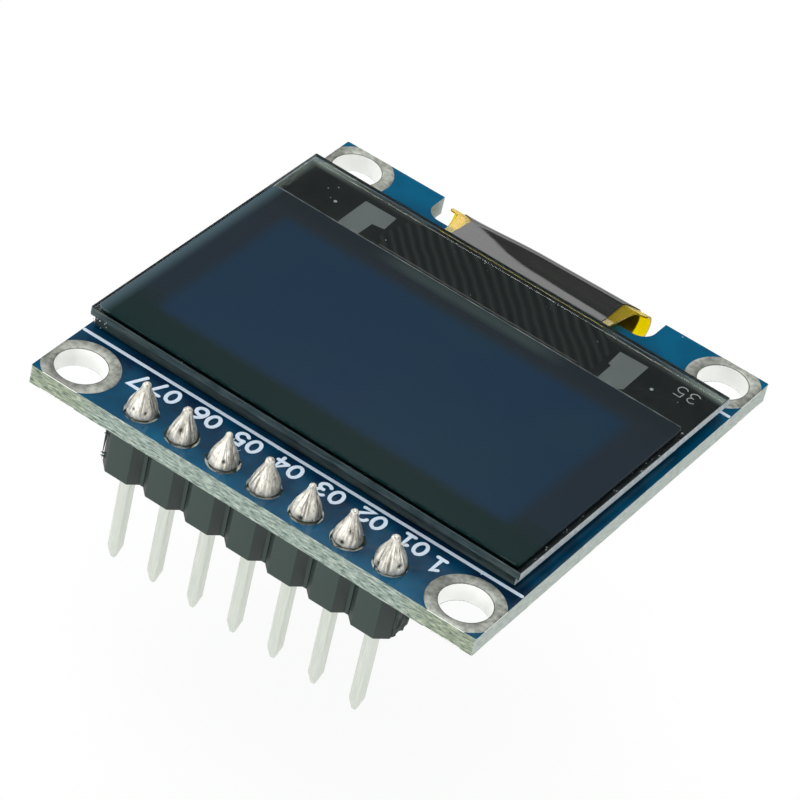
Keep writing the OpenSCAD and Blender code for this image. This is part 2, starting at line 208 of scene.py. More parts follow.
def slab(width, length, radius, low, high, chamfer):
    """Rounded outlines stacked from low to high, drawn in by the chamfer at both faces."""
    rings = []
    for inset, z in ((chamfer, low), (0, low + chamfer), (0, high - chamfer), (chamfer, high)):
        outline = rounded_outline(width - 2 * inset, length - 2 * inset, max(radius - inset, 0.01))
        rings.append(np.column_stack([outline, np.full(len(outline), z)]))
    return skin(np.stack(rings))


def skin(rings, closed=False):
    """Faces over a grid of closed rings: quads between neighbours, and a flat cap at either end."""
    count, around = rings.shape[:2]
    rows = np.arange(count if closed else count - 1)[:, None]
    steps = np.arange(around)[None, :]
    following = (rows + 1) % count
    beside = (steps + 1) % around
    quads = np.stack(
        [
            rows * around + steps, rows * around + beside, following * around + beside,
            following * around + steps
        ],
        axis=-1,
    ).reshape(-1, 4)
    faces = quads.tolist()
    if not closed:
        faces.append(list(range(around))[::-1])
        faces.append(list(range((count - 1) * around, count * around)))
    return rings.reshape(-1, 3), faces


def moved(shape, offset, turn=0.0):
    """A shape turned about Z by the angle and then shifted."""
    points, faces = shape
    c, s = math.cos(turn), math.sin(turn)
    turned = points @ np.array([[c, s, 0], [-s, c, 0], [0, 0, 1]])
    return turned + np.array(offset), faces


def on_panel(shape, turn):
    """A shape from the panel's own frame, with heights kept."""
    return moved(shape, (PANEL_AT[0], PANEL_AT[1], 0), turn)


def strap(path, across, up, width, thickness, closed=False):
    """A flat section carried along a path.

    Each point of the path gets four corners: half the width to either side along
    across, and half the thickness down and up along up.
    """
    half_w = np.broadcast_to(np.asarray(width, float).reshape(-1, 1) / 2, (len(path), 1)) * across
    half_t = np.broadcast_to(up * thickness / 2, path.shape)
    corners = [
        path - half_w - half_t, path + half_w - half_t, path + half_w + half_t,
        path - half_w + half_t
    ]
    return skin(np.stack(corners, axis=1), closed)


def stroke(points, width, low, high, closed=False):
    """A printed line of one width along points in X and Y, from low to high, with round ends.

    The side direction at a point is square to the mean of the unit steps before
    and after it, and longer at a corner so that the line keeps its width.
    """
    points = np.asarray(points, float)
    if closed:
        before, after = points - np.roll(points, 1, 0), np.roll(points, -1, 0) - points
    else:
        step = np.diff(points, axis=0)
        before, after = np.vstack([step[:1], step]), np.vstack([step, step[-1:]])
    before = before / np.linalg.norm(before, axis=1, keepdims=True)
    after = after / np.linalg.norm(after, axis=1, keepdims=True)
    mean = before + after
    mean = mean / np.maximum(np.linalg.norm(mean, axis=1, keepdims=True), 1e-6)
    stretch = 1 / np.maximum(np.sum(mean * after, axis=1), 0.6)
    widths = width * stretch
    if not closed:
        turn = np.radians(np.linspace(90, 15, 6))
        reach, narrow = width / 2 * np.sin(turn), width * np.cos(turn)
        points = np.vstack([
            points[0] - reach[:, None] * after[0], points, points[-1] + reach[::-1, None] * before[
                -1
            ]
        ])
        mean = np.vstack([np.repeat(mean[:1], 6, 0), mean, np.repeat(mean[-1:], 6, 0)])
        widths = np.concatenate([narrow, widths, narrow[::-1]])
    across = np.column_stack([-mean[:, 1], mean[:, 0], np.zeros(len(mean))])
    path = np.column_stack([points, np.full(len(points), (low + high) / 2)])
    return strap(path, across, np.array([0.0, 0.0, 1.0]), widths, high - low, closed)


def annulus(centre, inner, outer, low, high, steps=64):
    """A flat ring: a square section carried round a circle of the mean radius."""
    circle = arc(centre, [(inner + outer) / 2] * 2, 0, 360, steps + 1)[:-1]
    return stroke(circle, outer - inner, low, high, closed=True)


def disc(centre, radius, low, high, steps=32):
    """A short round plate."""
    outline = arc(centre, (radius, radius), 0, 360, steps + 1)[:-1]
    return plate(outline, low, high)


def plate(outline, low, high):
    """A flat plate of any outline, given anticlockwise, with square edges."""
    outline = np.asarray(outline, float)
    rings = [np.column_stack([outline, np.full(len(outline), z)]) for z in (low, high)]
    return skin(np.stack(rings))


DIGITS = {
    "0": [(arc((0.31, 0.5), (0.31, 0.5), 90, 430, 24)[:-1], True)],
    "1": [([(0.08, 0.8), (0.33, 1.0), (0.33, 0.0)], False), ([(0.08, 0.0), (0.58, 0.0)], False)],
    "2": [(np.vstack([arc((0.31, 0.69), (0.31, 0.31), 170, -35, 12), [(0.0, 0.0), (0.62, 0.0)]]), False)],
    "3": [
        (arc((0.29, 0.75), (0.27, 0.25), 150, -90, 12), False),
        (arc((0.29, 0.26), (0.31, 0.26), 90, -150, 12), False)
    ],
    "4": [([(0.46, 0.0), (0.46, 1.0), (0.0, 0.32)], False), ([(0.0, 0.32), (0.64, 0.32)], False)],
    "5": [
        ([(0.57, 1.0), (0.1, 1.0), (0.06, 0.56)], False),
        (arc((0.29, 0.31), (0.31, 0.31), 125, -145, 14), False)
    ],
    "6": [
        (arc((0.62, 0.3), (0.62, 0.7), 100, 170, 8), False),
        (arc((0.31, 0.3), (0.31, 0.3), 90, 430, 20)[:-1], True)
    ],
    "7": [([(0.0, 1.0), (0.62, 1.0), (0.2, 0.0)], False)],
    "8": [
        (arc((0.31, 0.76), (0.25, 0.24), 90, 430, 18)[:-1], True),
        (arc((0.31, 0.27), (0.31, 0.27), 90, 430, 18)[:-1], True)
    ],
}
DIGIT_ADVANCE = 0.88


def number(text, centre, height, width, low, high, turn=0.0, mirror=1.0):
    """Numbers drawn as strokes, centred at a place; mirror is -1 where they are read from below.

    Each stroke is a few microns thicker than the last, so that crossing strokes don't share a face.
    """
    shapes = []
    reach = (len(text) - 1) * DIGIT_ADVANCE + 0.62
    c, s = math.cos(turn), math.sin(turn)
    for index, digit in enumerate(text):
        for layer, (points, closed) in enumerate(DIGITS[digit]):
            local = (np.asarray(points, float) + [index * DIGIT_ADVANCE - reach / 2, -0.5]) * height
            turned = (local * [mirror, 1.0]) @ np.array([[c, s], [-s, c]]) + np.array(centre)
            shapes.append(stroke(turned, width, low - 0.003 * layer, high + 0.003 * layer, closed))
    return shapes


def joint(foot, height, look, depth, random):
    """A solder joint as a surface of height and angle.

    The radius falls from the foot to the tip as a raised cosine to the power 0.8.
    It is multiplied by a rounding at the very foot, and by slow lumps, cosines of the
    angle. Sharp grooves are bell curves of the angle that drift as they climb, and a
    pit is a bell curve of both; their depths are summed as the second value, 0 to 1.
    The tip is a dome.
    """
    size, tip, lump, groove_count, pits, lean = look
    foot = foot * size
    rows, around = 48, 128
    t = np.linspace(0, 1, rows)[:, None]
    angle = np.linspace(0, 2 * math.pi, around, endpoint=False)[None, :]
    radius = tip + (foot - tip) * ((1 + np.cos(math.pi * t)) / 2) ** 0.8
    radius = radius * (1 - 0.07 * np.exp(-((t / 0.035) ** 2)))
    lumps = np.zeros((rows, around))
    for waves, strength in ((2, 0.05), (3, 0.045), (5, 0.035), (8, 0.022), (13, 0.014), (21, 0.01)):
        phase, drift = random.uniform(0, 2 * math.pi), random.uniform(-1.6, 1.6)
        lumps += lump * strength * np.cos(waves * angle + phase + drift * t)
    dips = np.zeros((rows, around))
    for centre in random.uniform(0, 2 * math.pi, groove_count):
        drift, narrow = random.uniform(-0.5, 0.5), random.uniform(0.04, 0.1)
        start, stop = random.uniform(0.0, 0.35), random.uniform(0.5, 1.0)
        gap = np.angle(np.exp(1j * (angle - centre - drift * t)))
        reach = 1 / (1 + np.exp(-(t - start) / 0.05)) / (1 + np.exp((t - stop) / 0.05))
        dips = np.maximum(dips, np.exp(-((gap / narrow) ** 2)) * reach * random.uniform(0.4, 0.9))
    for centre, level, spread in pits:
        gap = np.angle(np.exp(1j * (angle - centre)))
        dips = np.maximum(
            dips, 1.2 * np.exp(-((gap / spread) ** 2) - ((t - level) / (0.45 * spread)) ** 2)
        )
    radius = radius * (1 + lumps * np.sin(math.pi * np.clip(t, 0.08, 0.9))) - depth * dips * (
        0.35 + 0.65 * (1 - t)
    )
    dome = np.linspace(0, 1, 7)[1:, None] * math.pi / 2
    body = height - tip * 0.8
    rise = np.vstack([t * body, body + tip * 0.8 * np.sin(dome)])
    radius = np.vstack([radius, radius[-1:] * np.maximum(np.cos(dome), 0.02)])
    dips = np.vstack([dips, np.repeat(dips[-1:], 6, 0) * 0.3])
    share = (rise / height) ** 1.5
    x = radius * np.cos(angle) + lean[0] * share
    y = radius * np.sin(angle) + lean[1] * share
    rings = np.stack([x, y, np.broadcast_to(rise, x.shape)], axis=-1)
    # The second value also serves as painted shade in the grooves and pits.
    return skin(rings), np.clip(dips, 0, 1).ravel()


def spike(base, tip, radius):
    """A sliver of metal: circles that shrink to a point along a straight line."""
    base, tip = np.array(base, float), np.array(tip, float)
    t = np.linspace(0, 1, 6)
    turn = np.radians(np.arange(0, 360, 45))
    side = np.cross(tip - base, [0.31, -0.52, 0.8])
    side = side / np.linalg.norm(side)
    other = np.cross((tip - base) / np.linalg.norm(tip - base), side)
    circle = np.cos(turn)[:, None] * side + np.sin(turn)[:, None] * other
    centres = (base + (tip - base) * t[:, None])[:, None, :]
    radii = (radius * (1.03 - t))[:, None, None]
    return skin(centres + circle[None] * radii)


def land(centre, inner, outer, reach, low, rise):
    """A domed plated land, cut off straight where the board ends.

    Round the angle the outer radius is the smaller of the land's own and the distance
    to the board's edge: reach over the cosine or sine, toward the corner only. Across
    it the height is a half sine to the power 0.6.
    """
    turn = np.linspace(0, 2 * math.pi, 145)[:-1]
    side, end = np.cos(turn) * np.sign(centre[0]), np.sin(turn) * np.sign(centre[1])
    limit = np.minimum(reach[0] / np.maximum(side, 1e-3), reach[1] / np.maximum(end, 1e-3))
    edge = np.minimum(outer, limit)
    across = np.linspace(0, 1, 9)
    dome = inner + (edge[:, None] - inner) * across
    radius = np.hstack([edge[:, None], dome[:, :1], dome])
    height = np.hstack([[low - 0.01] * 2, low + 0.006 + rise * np.sin(math.pi * across) ** 0.6]) + 0 * radius
    x, y = centre[0] + radius * np.cos(turn)[:, None], centre[1] + radius * np.sin(turn)[:, None]
    return skin(np.stack([x, y, height], axis=-1), closed=True)


def film(path, half_width, side_at, thickness, offset, lift):
    """A folded film: a profile in Y and Z carried across X.

    Each point of the profile is pushed out along its normal by the offset and half
    the thickness either way. The lift is a height for each place across and along.
    """
    step = np.gradient(path, axis=0)
    step = step / np.linalg.norm(step, axis=1, keepdims=True)
    normal = np.column_stack([-step[:, 1], step[:, 0]])
    share = np.linspace(1, -1, 49)
    x = side_at + half_width[:, None] * share[None, :]
    layers = []
    for shift in (offset - thickness / 2, offset + thickness / 2):
        y = path[:, 0, None] + normal[:, 0, None] * shift + 0 * x
        z = path[:, 1, None] + normal[:, 1, None] * shift + lift(
            x, path[:, 0, None], path[:, 1, None]
        )
        layers.append(np.stack([x, y, z], axis=-1))
    return skin(np.concatenate([layers[0], layers[1][:, ::-1]], axis=1))


def torn_face(outline, at_x, reach, random):
    """A broken face across X: an outline drawn in to its middle in rings, pushed out by lumps of noise.

    Each place stands out by half the reach plus sums of cosines of its place and of
    the ring, and the outermost ring lies on the face.
    """
    outline = np.asarray(outline, float)
    middle = outline.mean(0)
    share = np.concatenate([[1.0], np.linspace(0.97, 0.05, 16)])
    yz = middle + (outline - middle)[None] * share[:, None, None]
    out = np.zeros(yz.shape[:2])
    for _ in range(14):
        wave, phase = random.uniform(-14, 14, 2), random.uniform(0, 2 * math.pi)
        out += np.cos(yz @ wave + phase) / 14
    out = reach * np.clip(0.45 + 1.6 * out, 0.02, 1.0)
    out[0] = -0.05
    rings = np.concatenate([(at_x + out)[..., None], yz], axis=2)
    return skin(rings)


def wire(side, low, high, taper_low, taper_high, tip):
    """A square wire: rounded-square rings whose side shrinks to the tip along each taper."""
    z = np.array([
        low, low + 0.05, low + 0.12, low + taper_low, low + taper_low + 0.05, high - taper_high, high
    ])
    sides = np.array([tip * 0.6, tip * 0.9, tip * 1.05, side * 0.98, side, side, tip * 0.7])
    outline = rounded_outline(1.0, 1.0, 0.16, 5)
    rings = np.concatenate([
        outline[None] * sides[:, None, None],
        np.broadcast_to(z[:, None, None], (len(z), len(outline), 1)),
    ], axis=2)
    return skin(rings)


# ---------- pieces ----------


def make_piece(name, shapes, materials, sharp=40.0, material_of=None):
    """Joins shapes given in millimetres into one object that rides on the only body.

    material_of, if given, picks a material index for each face from its normal.
    """
    points, faces, first = [], [], 0
    for shape_points, shape_faces in shapes:
        points.append(shape_points)
        faces += [[i + first for i in face] for face in shape_faces]
        first += len(shape_points)
    mesh = bpy.data.meshes.new(name)
    mesh.from_pydata((np.vstack(points) * MM).tolist(), [], faces)
    mesh.validate()
    mesh.polygons.foreach_set("use_smooth", np.ones(len(mesh.polygons), bool))
    mesh.set_sharp_from_angle(angle=math.radians(sharp))
    for material in materials:
        mesh.materials.append(material)
    if material_of is not None:
        normals = np.zeros(len(mesh.polygons) * 3)
        mesh.polygons.foreach_get("normal", normals)
        mesh.polygons.foreach_set(
            "material_index", material_of(normals.reshape(-1, 3)).astype(np.int32)
        )
    piece = bpy.data.objects.new(name, mesh)
    bpy.context.scene.collection.objects.link(piece)
    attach(piece, "root")
    return piece


def rounded_copy(node, name, material, width, segments=2):
    """A copy of a CAD node, its doubles merged and its edges rounded, shown in its place."""
    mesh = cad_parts[node].data.copy()
    mesh.materials.clear()
    mesh.materials.append(material)
    piece = bpy.data.objects.new(name, mesh)
    bpy.context.scene.collection.objects.link(piece)
    weld = piece.modifiers.new("merge", "WELD")
    weld.merge_threshold = 0.002 * MM
    bevel = piece.modifiers.new("edges", "BEVEL")
    bevel.width = width
    bevel.segments = segments
    bevel.limit_method = "ANGLE"
    bevel.angle_limit = math.radians(35)
    bevel.harden_normals = True
    mesh.polygons.foreach_set("use_smooth", np.ones(len(mesh.polygons), bool))
    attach(piece, "root")
    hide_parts(node)
    return piece


def finish_nodes(nodes, material):
    """Gives CAD nodes one material."""
    for node in nodes:
        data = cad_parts[node].data
        data.materials.clear()
        data.materials.append(material)


# ---------- materials ----------


def add_node(tree, kind, settings=None, links=None):
    """Adds a shader node. Settings go to its sockets or properties, and links join sockets to outputs.

    An output given as a setting is linked too. A ramp's stops are pairs of a position
    and a colour, or a plain factor.
    """
    node = tree.nodes.new(kind)
    for key, value in (settings or {}).items():
        if key == "stops":
            ramp = node.color_ramp
            while len(ramp.elements) < len(value):
                ramp.elements.new(0.5)
            for element, (position, colour) in zip(ramp.elements, value):
                element.position = position
                plain = not isinstance(colour, str)
                element.color = [colour] * 3 + [1.0] if plain else linear(colour)
        elif isinstance(value, bpy.types.NodeSocket):
            tree.links.new(value, node.inputs[key])
        elif isinstance(key, int) or key in node.inputs:
            node.inputs[key].default_value = value
        else:
            setattr(node, key, value)
    for key, output in (links or {}).items():
        tree.links.new(output, node.inputs[key])
    return node


def new_material(name):
    """A material of that name, new or cleared, as (material, tree, Principled shader)."""
    material = bpy.data.materials.get(name) or bpy.data.materials.new(name)
    material.use_nodes = True
    tree = material.node_tree
    tree.nodes.clear()
    shader = add_node(tree, "ShaderNodeBsdfPrincipled")
    add_node(tree, "ShaderNodeOutputMaterial", links={"Surface": shader.outputs[0]})
    return material, tree, shader


def per_mm(millimetres):
    """Texture scale at which one feature spans that many millimetres."""
    return 1 / (millimetres * MM)


def coordinates(tree):
    """The outputs of a texture coordinate node."""
    return add_node(tree, "ShaderNodeTexCoord").outputs


def axes_of(tree, vector):
    """The X, Y and Z outputs of a vector."""
    return add_node(tree, "ShaderNodeSeparateXYZ", {0: vector}).outputs


def calc(tree, operation, first, second=0.5):
    """A sum on one or two values or outputs."""
    settings = {"operation": operation, 0: first, 1: second}
    return add_node(tree, "ShaderNodeMath", settings).outputs[0]


def noise(tree, place, millimetres, detail, roughness=0.5):
    """Noise whose features span that many millimetres."""
    settings = {"Scale": per_mm(millimetres), "Detail": detail, "Roughness": roughness}
    return add_node(tree, "ShaderNodeTexNoise", settings, {"Vector": place}).outputs[0]


def graded(tree, factor, stops):
    """A ramp through stops, each a position with a colour or a plain factor."""
    return add_node(tree, "ShaderNodeValToRGB", {"stops": stops}, {0: factor}).outputs[0]


def blend(tree, factor, first, second, mode="MIX"):
    """One colour laid over another by a factor; each is a value or an output."""
    settings = {"data_type": "RGBA", "blend_type": mode, 0: factor, 6: first, 7: second}
    return add_node(tree, "ShaderNodeMix", settings).outputs[2]


def bumped(tree, height, strength, millimetres):
    """A normal roughened by a height, as deep as that many millimetres."""
    settings = {"Strength": strength, "Distance": millimetres * MM}
    return add_node(tree, "ShaderNodeBump", settings, {"Height": height}).outputs[0]


def set_shader(tree, shader, settings, links=None):
    """Sets and links a shader's own sockets."""
    for key, value in settings.items():
        shader.inputs[key].default_value = value
    for key, output in (links or {}).items():
        tree.links.new(output, shader.inputs[key])


def solder_mask(board):
    """Glossy solder mask on routed glass-epoxy laminate.

    The faces show a thin glossy blue with a little lint on it, and painted sheen and shade
    along the board: lighter toward the flex and darkest beside the panel. The cut edges show
    pale resin and broken darker strands of glass that run along the edge, and a painted
    highlight on the ends across X.
    """
    material, tree, shader = new_material("solder mask on routed laminate")
    place = coordinates(tree)
    normal = axes_of(tree, place["Normal"])
    level = calc(tree, "ABSOLUTE", normal[2])
    face = calc(tree, "GREATER_THAN", level, 0.6)
    point = axes_of(tree, place["Object"])
    along = calc(tree, "ADD", point[0], point[1])
    edge_point = add_node(tree, "ShaderNodeCombineXYZ", links={0: along, 2: point[2]})
    strands = add_node(
        tree, "ShaderNodeMapping", {"Scale": (0.17, 1.0, 1.0)}, {0: edge_point.outputs[0]}
    )
    strand = noise(tree, strands.outputs[0], 0.1, 4.0, 0.75)
    laminate = graded(tree, strand, [
        (0.34, "#26322f"), (0.41, "#5f6f67"), (0.5, "#86958c"), (0.6, "#a5b0a6"),
        (0.74, "#d7ddd4"),
    ])
    off_centre = calc(tree, "ABSOLUTE", point[0])
    corner = add_node(
        tree, "ShaderNodeMapRange",
        {
            "interpolation_type": "SMOOTHSTEP", "From Min": 8.6 * MM, "From Max": 11.5 * MM,
            "To Max": 0.55
        },
        {0: off_centre},
    )
    front = calc(tree, "ABSOLUTE", normal[1])
    stain = calc(tree, "MULTIPLY", corner.outputs[0], front)
    resin = blend(tree, stain, laminate, linear("#f6ecc8"), "MULTIPLY")
    # The ends across X are painted paler by their normal: a painted highlight.
    end = calc(tree, "ABSOLUTE", normal[0])
    painted_end_highlight = calc(tree, "MULTIPLY", end, 0.4)
    laminate_edge = blend(tree, painted_end_highlight, resin, linear("#d8dedb"))
    length = add_node(
        tree, "ShaderNodeMapRange", {"From Min": BOARD_LOW[1] * MM, "From Max": BOARD_HIGH[1] * MM},
        {0: point[1]},
    )
    # Painted sheen and shade along the board: lighter at the front edge and toward the flex, darkest beside the panel.
    depth = graded(tree, length.outputs[0], [
        (0.0, 0.62), (0.05, 0.42), (0.1, 0.24), (0.15, 0.04), (0.19, 0.3), (0.5, 0.42),
        (0.9, 0.7), (1.0, 0.95),
    ])
    pour = noise(tree, place["Object"], 1.6, 2.0)
    cloud = add_node(
        tree, "ShaderNodeMapRange", {
            "From Min": 0.3, "From Max": 0.7, "To Min": -0.2, "To Max": 0.2
        },
        {0: pour},
    )
    shade = add_node(
        tree, "ShaderNodeMath", {"operation": "ADD", "use_clamp": True}, {
            0: depth, 1: cloud.outputs[0]
        }
    )
    # The two mask colours are mixed by that painted sheen and shade and a random cloud.
    mask = blend(
        tree, shade.outputs[0], list(board.mask) + [1.0], list(board.mask_over_copper) + [1.0]
    )
    lint = add_node(
        tree, "ShaderNodeTexVoronoi", {"Scale": per_mm(0.8)}, {"Vector": place["Object"]}
    )
    near = calc(tree, "LESS_THAN", lint.outputs["Distance"], 0.055)
    some = calc(tree, "GREATER_THAN", lint.outputs["Color"], 0.72)
    speck = calc(tree, "MULTIPLY", near, some)
    dusty = blend(tree, speck, mask, linear("#9fb4c2"))
    colour = blend(tree, face, laminate_edge, dusty)
    rough = add_node(tree, "ShaderNodeMapRange", {"To Min": 0.72, "To Max": 0.14}, {0: face})
    height = add_node(
        tree, "ShaderNodeMix", {"data_type": "FLOAT"},
        {0: face, 2: strand, 3: pour},
    )
    bump = bumped(tree, height.outputs[0], 0.3, 0.03)
    set_shader(
        tree, shader, {"IOR": 1.5, "Specular IOR Level": 0.35},
        {"Base Color": colour, "Roughness": rough.outputs[0], "Normal": bump},
    )
    return material


def covered_copper(board):
    """Tracks under the solder mask: the same gloss, a little lighter and greener than the bare laminate."""
    material, tree, shader = new_material("solder mask over copper")
    place = coordinates(tree)
    cloud = noise(tree, place["Object"], 0.8, 2.0)
    low = [c * 0.8 for c in board.mask_over_copper] + [1.0]
    high = [min(1.0, c * 1.2) for c in board.mask_over_copper] + [1.0]
    colour = blend(tree, cloud, low, high)
    bump = bumped(tree, cloud, 0.15, 0.02)
    set_shader(
        tree, shader, {"Roughness": 0.24, "IOR": 1.5},
        {"Base Color": colour, "Normal": bump},
    )
    return material


def levelled_tin():
    """Hot-air levelled tin on copper: a soft grey metal with shallow pools on its faces.

    Inside a hole the plating is smooth and painted almost white, a painted reflection of the bright room.
    """
    material, tree, shader = new_material("hot air levelled tin")
    place = coordinates(tree)
    normal = axes_of(tree, place["Normal"])
    level = calc(tree, "ABSOLUTE", normal[2])
    painted_bright_barrel = calc(tree, "LESS_THAN", level, 0.3)
    pools = noise(tree, place["Object"], 0.3, 4.0, 0.6)
    pooled = graded(
        tree, pools, [(0.3, "#757b74"), (0.45, "#999d94"), (0.58, "#b0b3a9"), (0.75, "#cdcfc6")]
    )
    drift = noise(tree, place["Object"], 2.2, 1.0)
    dulled = graded(tree, drift, [(0.4, 0.5), (0.6, 1.0)])
    face = blend(tree, 1.0, pooled, dulled, "MULTIPLY")
    # Hole walls: painted reflection, almost white.
    colour = blend(tree, painted_bright_barrel, face, linear("#fbfcf9"))
    rough = add_node(
        tree, "ShaderNodeMapRange", {
            "From Min": 0.3, "From Max": 0.7, "To Min": 0.35, "To Max": 0.6
        },
        {0: pools},
    )
    bump = bumped(tree, pools, 0.4, 0.03)
    set_shader(
        tree, shader, {"Metallic": 0.45},
        {"Base Color": colour, "Roughness": rough.outputs[0], "Normal": bump},
    )
    return material


def frozen_solder():
    """Solder frozen in air: satin grey-white skin wrinkled down the slope, with painted shade darkening its shrinkage
    grooves and pits.
    """
    material, tree, shader = new_material("frozen solder")
    place = coordinates(tree)
    slope = add_node(tree, "ShaderNodeMapping", {"Scale": (1.0, 1.0, 0.28)}, {0: place["Object"]})
    wrinkle = noise(tree, slope.outputs[0], 0.16, 4.0, 0.62)
    dip = add_node(tree, "ShaderNodeAttribute", {"attribute_name": "groove"})
    skin_colour = graded(
        tree, wrinkle, [(0.3, "#9c988f"), (0.45, "#c1beb4"), (0.58, "#dad7ce"), (0.75, "#f1eee7")]
    )
    # Painted shade: the grooves and pits, read from an attribute on the points, are darkened toward near black.
    colour = blend(tree, dip.outputs["Fac"], skin_colour, linear("#34312b"))
    rough = add_node(
        tree, "ShaderNodeMapRange", {
            "From Min": 0.35, "From Max": 0.65, "To Min": 0.24, "To Max": 0.48
        },
        {0: wrinkle},
    )
    bump = bumped(tree, wrinkle, 0.6, 0.05)
    set_shader(
        tree, shader, {"Metallic": 0.55},
        {"Base Color": colour, "Roughness": rough.outputs[0], "Normal": bump},
    )
    return material


def painted_foot_shadow():
    """A painted shadow round the foot of a joint: a thin dark glassy film with a brown tint."""
    material, tree, shader = new_material("painted shadow at a joint's foot")
    place = coordinates(tree)
    patch = noise(tree, place["Object"], 0.4, 3.0)
    colour = graded(tree, patch, [(0.35, "#15242a"), (0.6, "#2b3526"), (0.8, "#4d482e")])
    set_shader(tree, shader, {"Roughness": 0.16, "IOR": 1.53}, {"Base Color": colour})
    return material


def screen_ink(board):
    """Screen-printed epoxy ink: matt white, slightly uneven where the mesh left it."""
    material, tree, shader = new_material("screen printed ink")
    place = coordinates(tree)
    mesh_mark = noise(tree, place["Object"], 0.12, 2.0)
    thin = [c * 0.8 for c in board.silk] + [1.0]
    colour = blend(tree, mesh_mark, thin, list(board.silk) + [1.0])
    set_shader(tree, shader, {"Roughness": 0.6}, {"Base Color": colour})
    return material


def drawn_pin():
    """Square brass wire, tin plated: bright metal with faint draw lines along its length."""
    material, tree, shader = new_material("tin plated drawn wire")
    place = coordinates(tree)
    drawn = add_node(tree, "ShaderNodeMapping", {"Scale": (1.0, 1.0, 0.06)}, {0: place["Object"]})
    lines = noise(tree, drawn.outputs[0], 0.09, 3.0)
    colour = graded(tree, lines, [(0.3, "#ccd1c8"), (0.6, "#d6dad2"), (0.8, "#dfe3db")])
    bump = bumped(tree, lines, 0.2, 0.01)
    set_shader(
        tree, shader, {"Metallic": 0.8, "Roughness": 0.32},
        {"Base Color": colour, "Normal": bump},
    )
    return material


def moulded_nylon(header, name="moulded nylon", torn=False):
    """Glass-filled nylon: dark, even and matt where it was moulded, and crumbly pale grey where it was torn.

    The slanted faces across X in the notches are painted darker: painted shade.
    """
    material, tree, shader = new_material(name)
    place = coordinates(tree)
    grain = noise(tree, place["Object"], 0.12 if torn else 0.05, 4.0, 0.7)
    pale = 2.2 if torn else 1.15
    low = [c * (0.35 if torn else 0.9) for c in header.nylon] + [1.0]
    high = [min(1.0, c * pale) for c in header.nylon] + [1.0]
    mould = blend(tree, grain, low, high)
    normal = axes_of(tree, place["Normal"])
    side = calc(tree, "ABSOLUTE", normal[0])
    # Painted shade on faces turned across X.
    painted_notch_shade = add_node(
        tree, "ShaderNodeMapRange", {"From Min": 0.3, "From Max": 0.6, "To Max": 0.6}, {0: side}
    )
    colour = blend(tree, painted_notch_shade.outputs[0], mould, [c * 0.25 for c in header.nylon] + [1.0])
    bump = bumped(tree, grain, 0.9 if torn else 0.15, (0.08 if torn else 0.01))
    set_shader(
        tree, shader, {"Roughness": 0.5, "IOR": 1.53},
        {"Base Color": colour, "Normal": bump},
    )
    return material


def clear_glass():
    """Float glass, polished faces: clear, with a faint green body and a few specks of dust."""
    material, tree, shader = new_material("polished float glass")
    place = coordinates(tree)
    dust = add_node(
        tree, "ShaderNodeTexVoronoi", {"Scale": per_mm(0.9), "Randomness": 1.0}, {
            "Vector": place["Object"]
        }
    )
    speck = calc(tree, "LESS_THAN", dust.outputs["Distance"], 0.035)
    rough = add_node(tree, "ShaderNodeMapRange", {"To Min": 0.0, "To Max": 0.6}, {0: speck})
    set_shader(
        tree, shader, {"Base Color": linear("#eef6f2"), "Transmission Weight": 1.0, "IOR": 1.52},
        {"Roughness": rough.outputs[0]},
    )
    return material


def ground_edge():
    """Glass edge scribed, snapped and ground: frosted, pale and bright, with fine chips."""
    material, tree, shader = new_material("ground glass edge")
    place = coordinates(tree)
    chips = noise(tree, place["Object"], 0.25, 4.0, 0.7)
    colour = graded(tree, chips, [(0.3, "#87939a"), (0.5, "#abb6bc"), (0.75, "#d6dee2")])
    bump = bumped(tree, chips, 0.4, 0.02)
    set_shader(
        tree, shader, {"Roughness": 0.42, "IOR": 1.52, "Transmission Weight": 0.25},
        {"Base Color": colour, "Normal": bump},
    )
    return material


def snapped_edge():
    """Glass edges left as they snapped, over dark layers.

    The cap is nearly black, the seam black, and the front glass dark green-grey with
    fine level lines; the paler top rim is a painted highlight.
    """
    material, tree, shader = new_material("snapped glass edge")
    place = coordinates(tree)
    level = add_node(tree, "ShaderNodeMapping", {"Scale": (0.1, 0.1, 1.0)}, {0: place["Object"]})
    lines = noise(tree, level.outputs[0], 0.09, 3.0, 0.6)
    point = axes_of(tree, place["Object"])
    rise = add_node(
        tree, "ShaderNodeMapRange",
        {"From Min": CAP_LOW[2] * MM, "From Max": GLASS_HIGH[2] * MM}, {0: point[2]},
    )
    # The top stops, paler at the upper rim of the front glass, are a painted highlight line.
    band = graded(tree, rise.outputs[0], [
        (0.0, "#141d1d"), (0.12, "#22302f"), (0.4, "#1c2828"), (0.47, "#070a0a"),
        (0.52, "#182222"), (0.6, "#36464a"), (0.85, "#2e3c3e"), (0.96, "#3f4e50"),
        (1.0, "#5d6e70"),
    ])
    streak = graded(tree, lines, [(0.3, 0.35), (0.5, 1.0), (0.68, 1.5), (0.74, 3.0)])
    colour = blend(tree, 1.0, band, streak, "MULTIPLY")
    bump = bumped(tree, lines, 0.3, 0.02)
    set_shader(
        tree, shader, {"Roughness": 0.3, "IOR": 1.52},
        {"Base Color": colour, "Normal": bump},
    )
    return material


def panel_place(tree, place, panel):
    """The panel's own coordinates, about the middle of its glass."""
    return add_node(
        tree, "ShaderNodeMapping",
        {"vector_type": "TEXTURE", "Location": (PANEL_AT[0] * MM, PANEL_AT[1] * MM, 0),
         "Rotation": (0, 0, panel.turn)},
        {0: place["Object"]},
    )


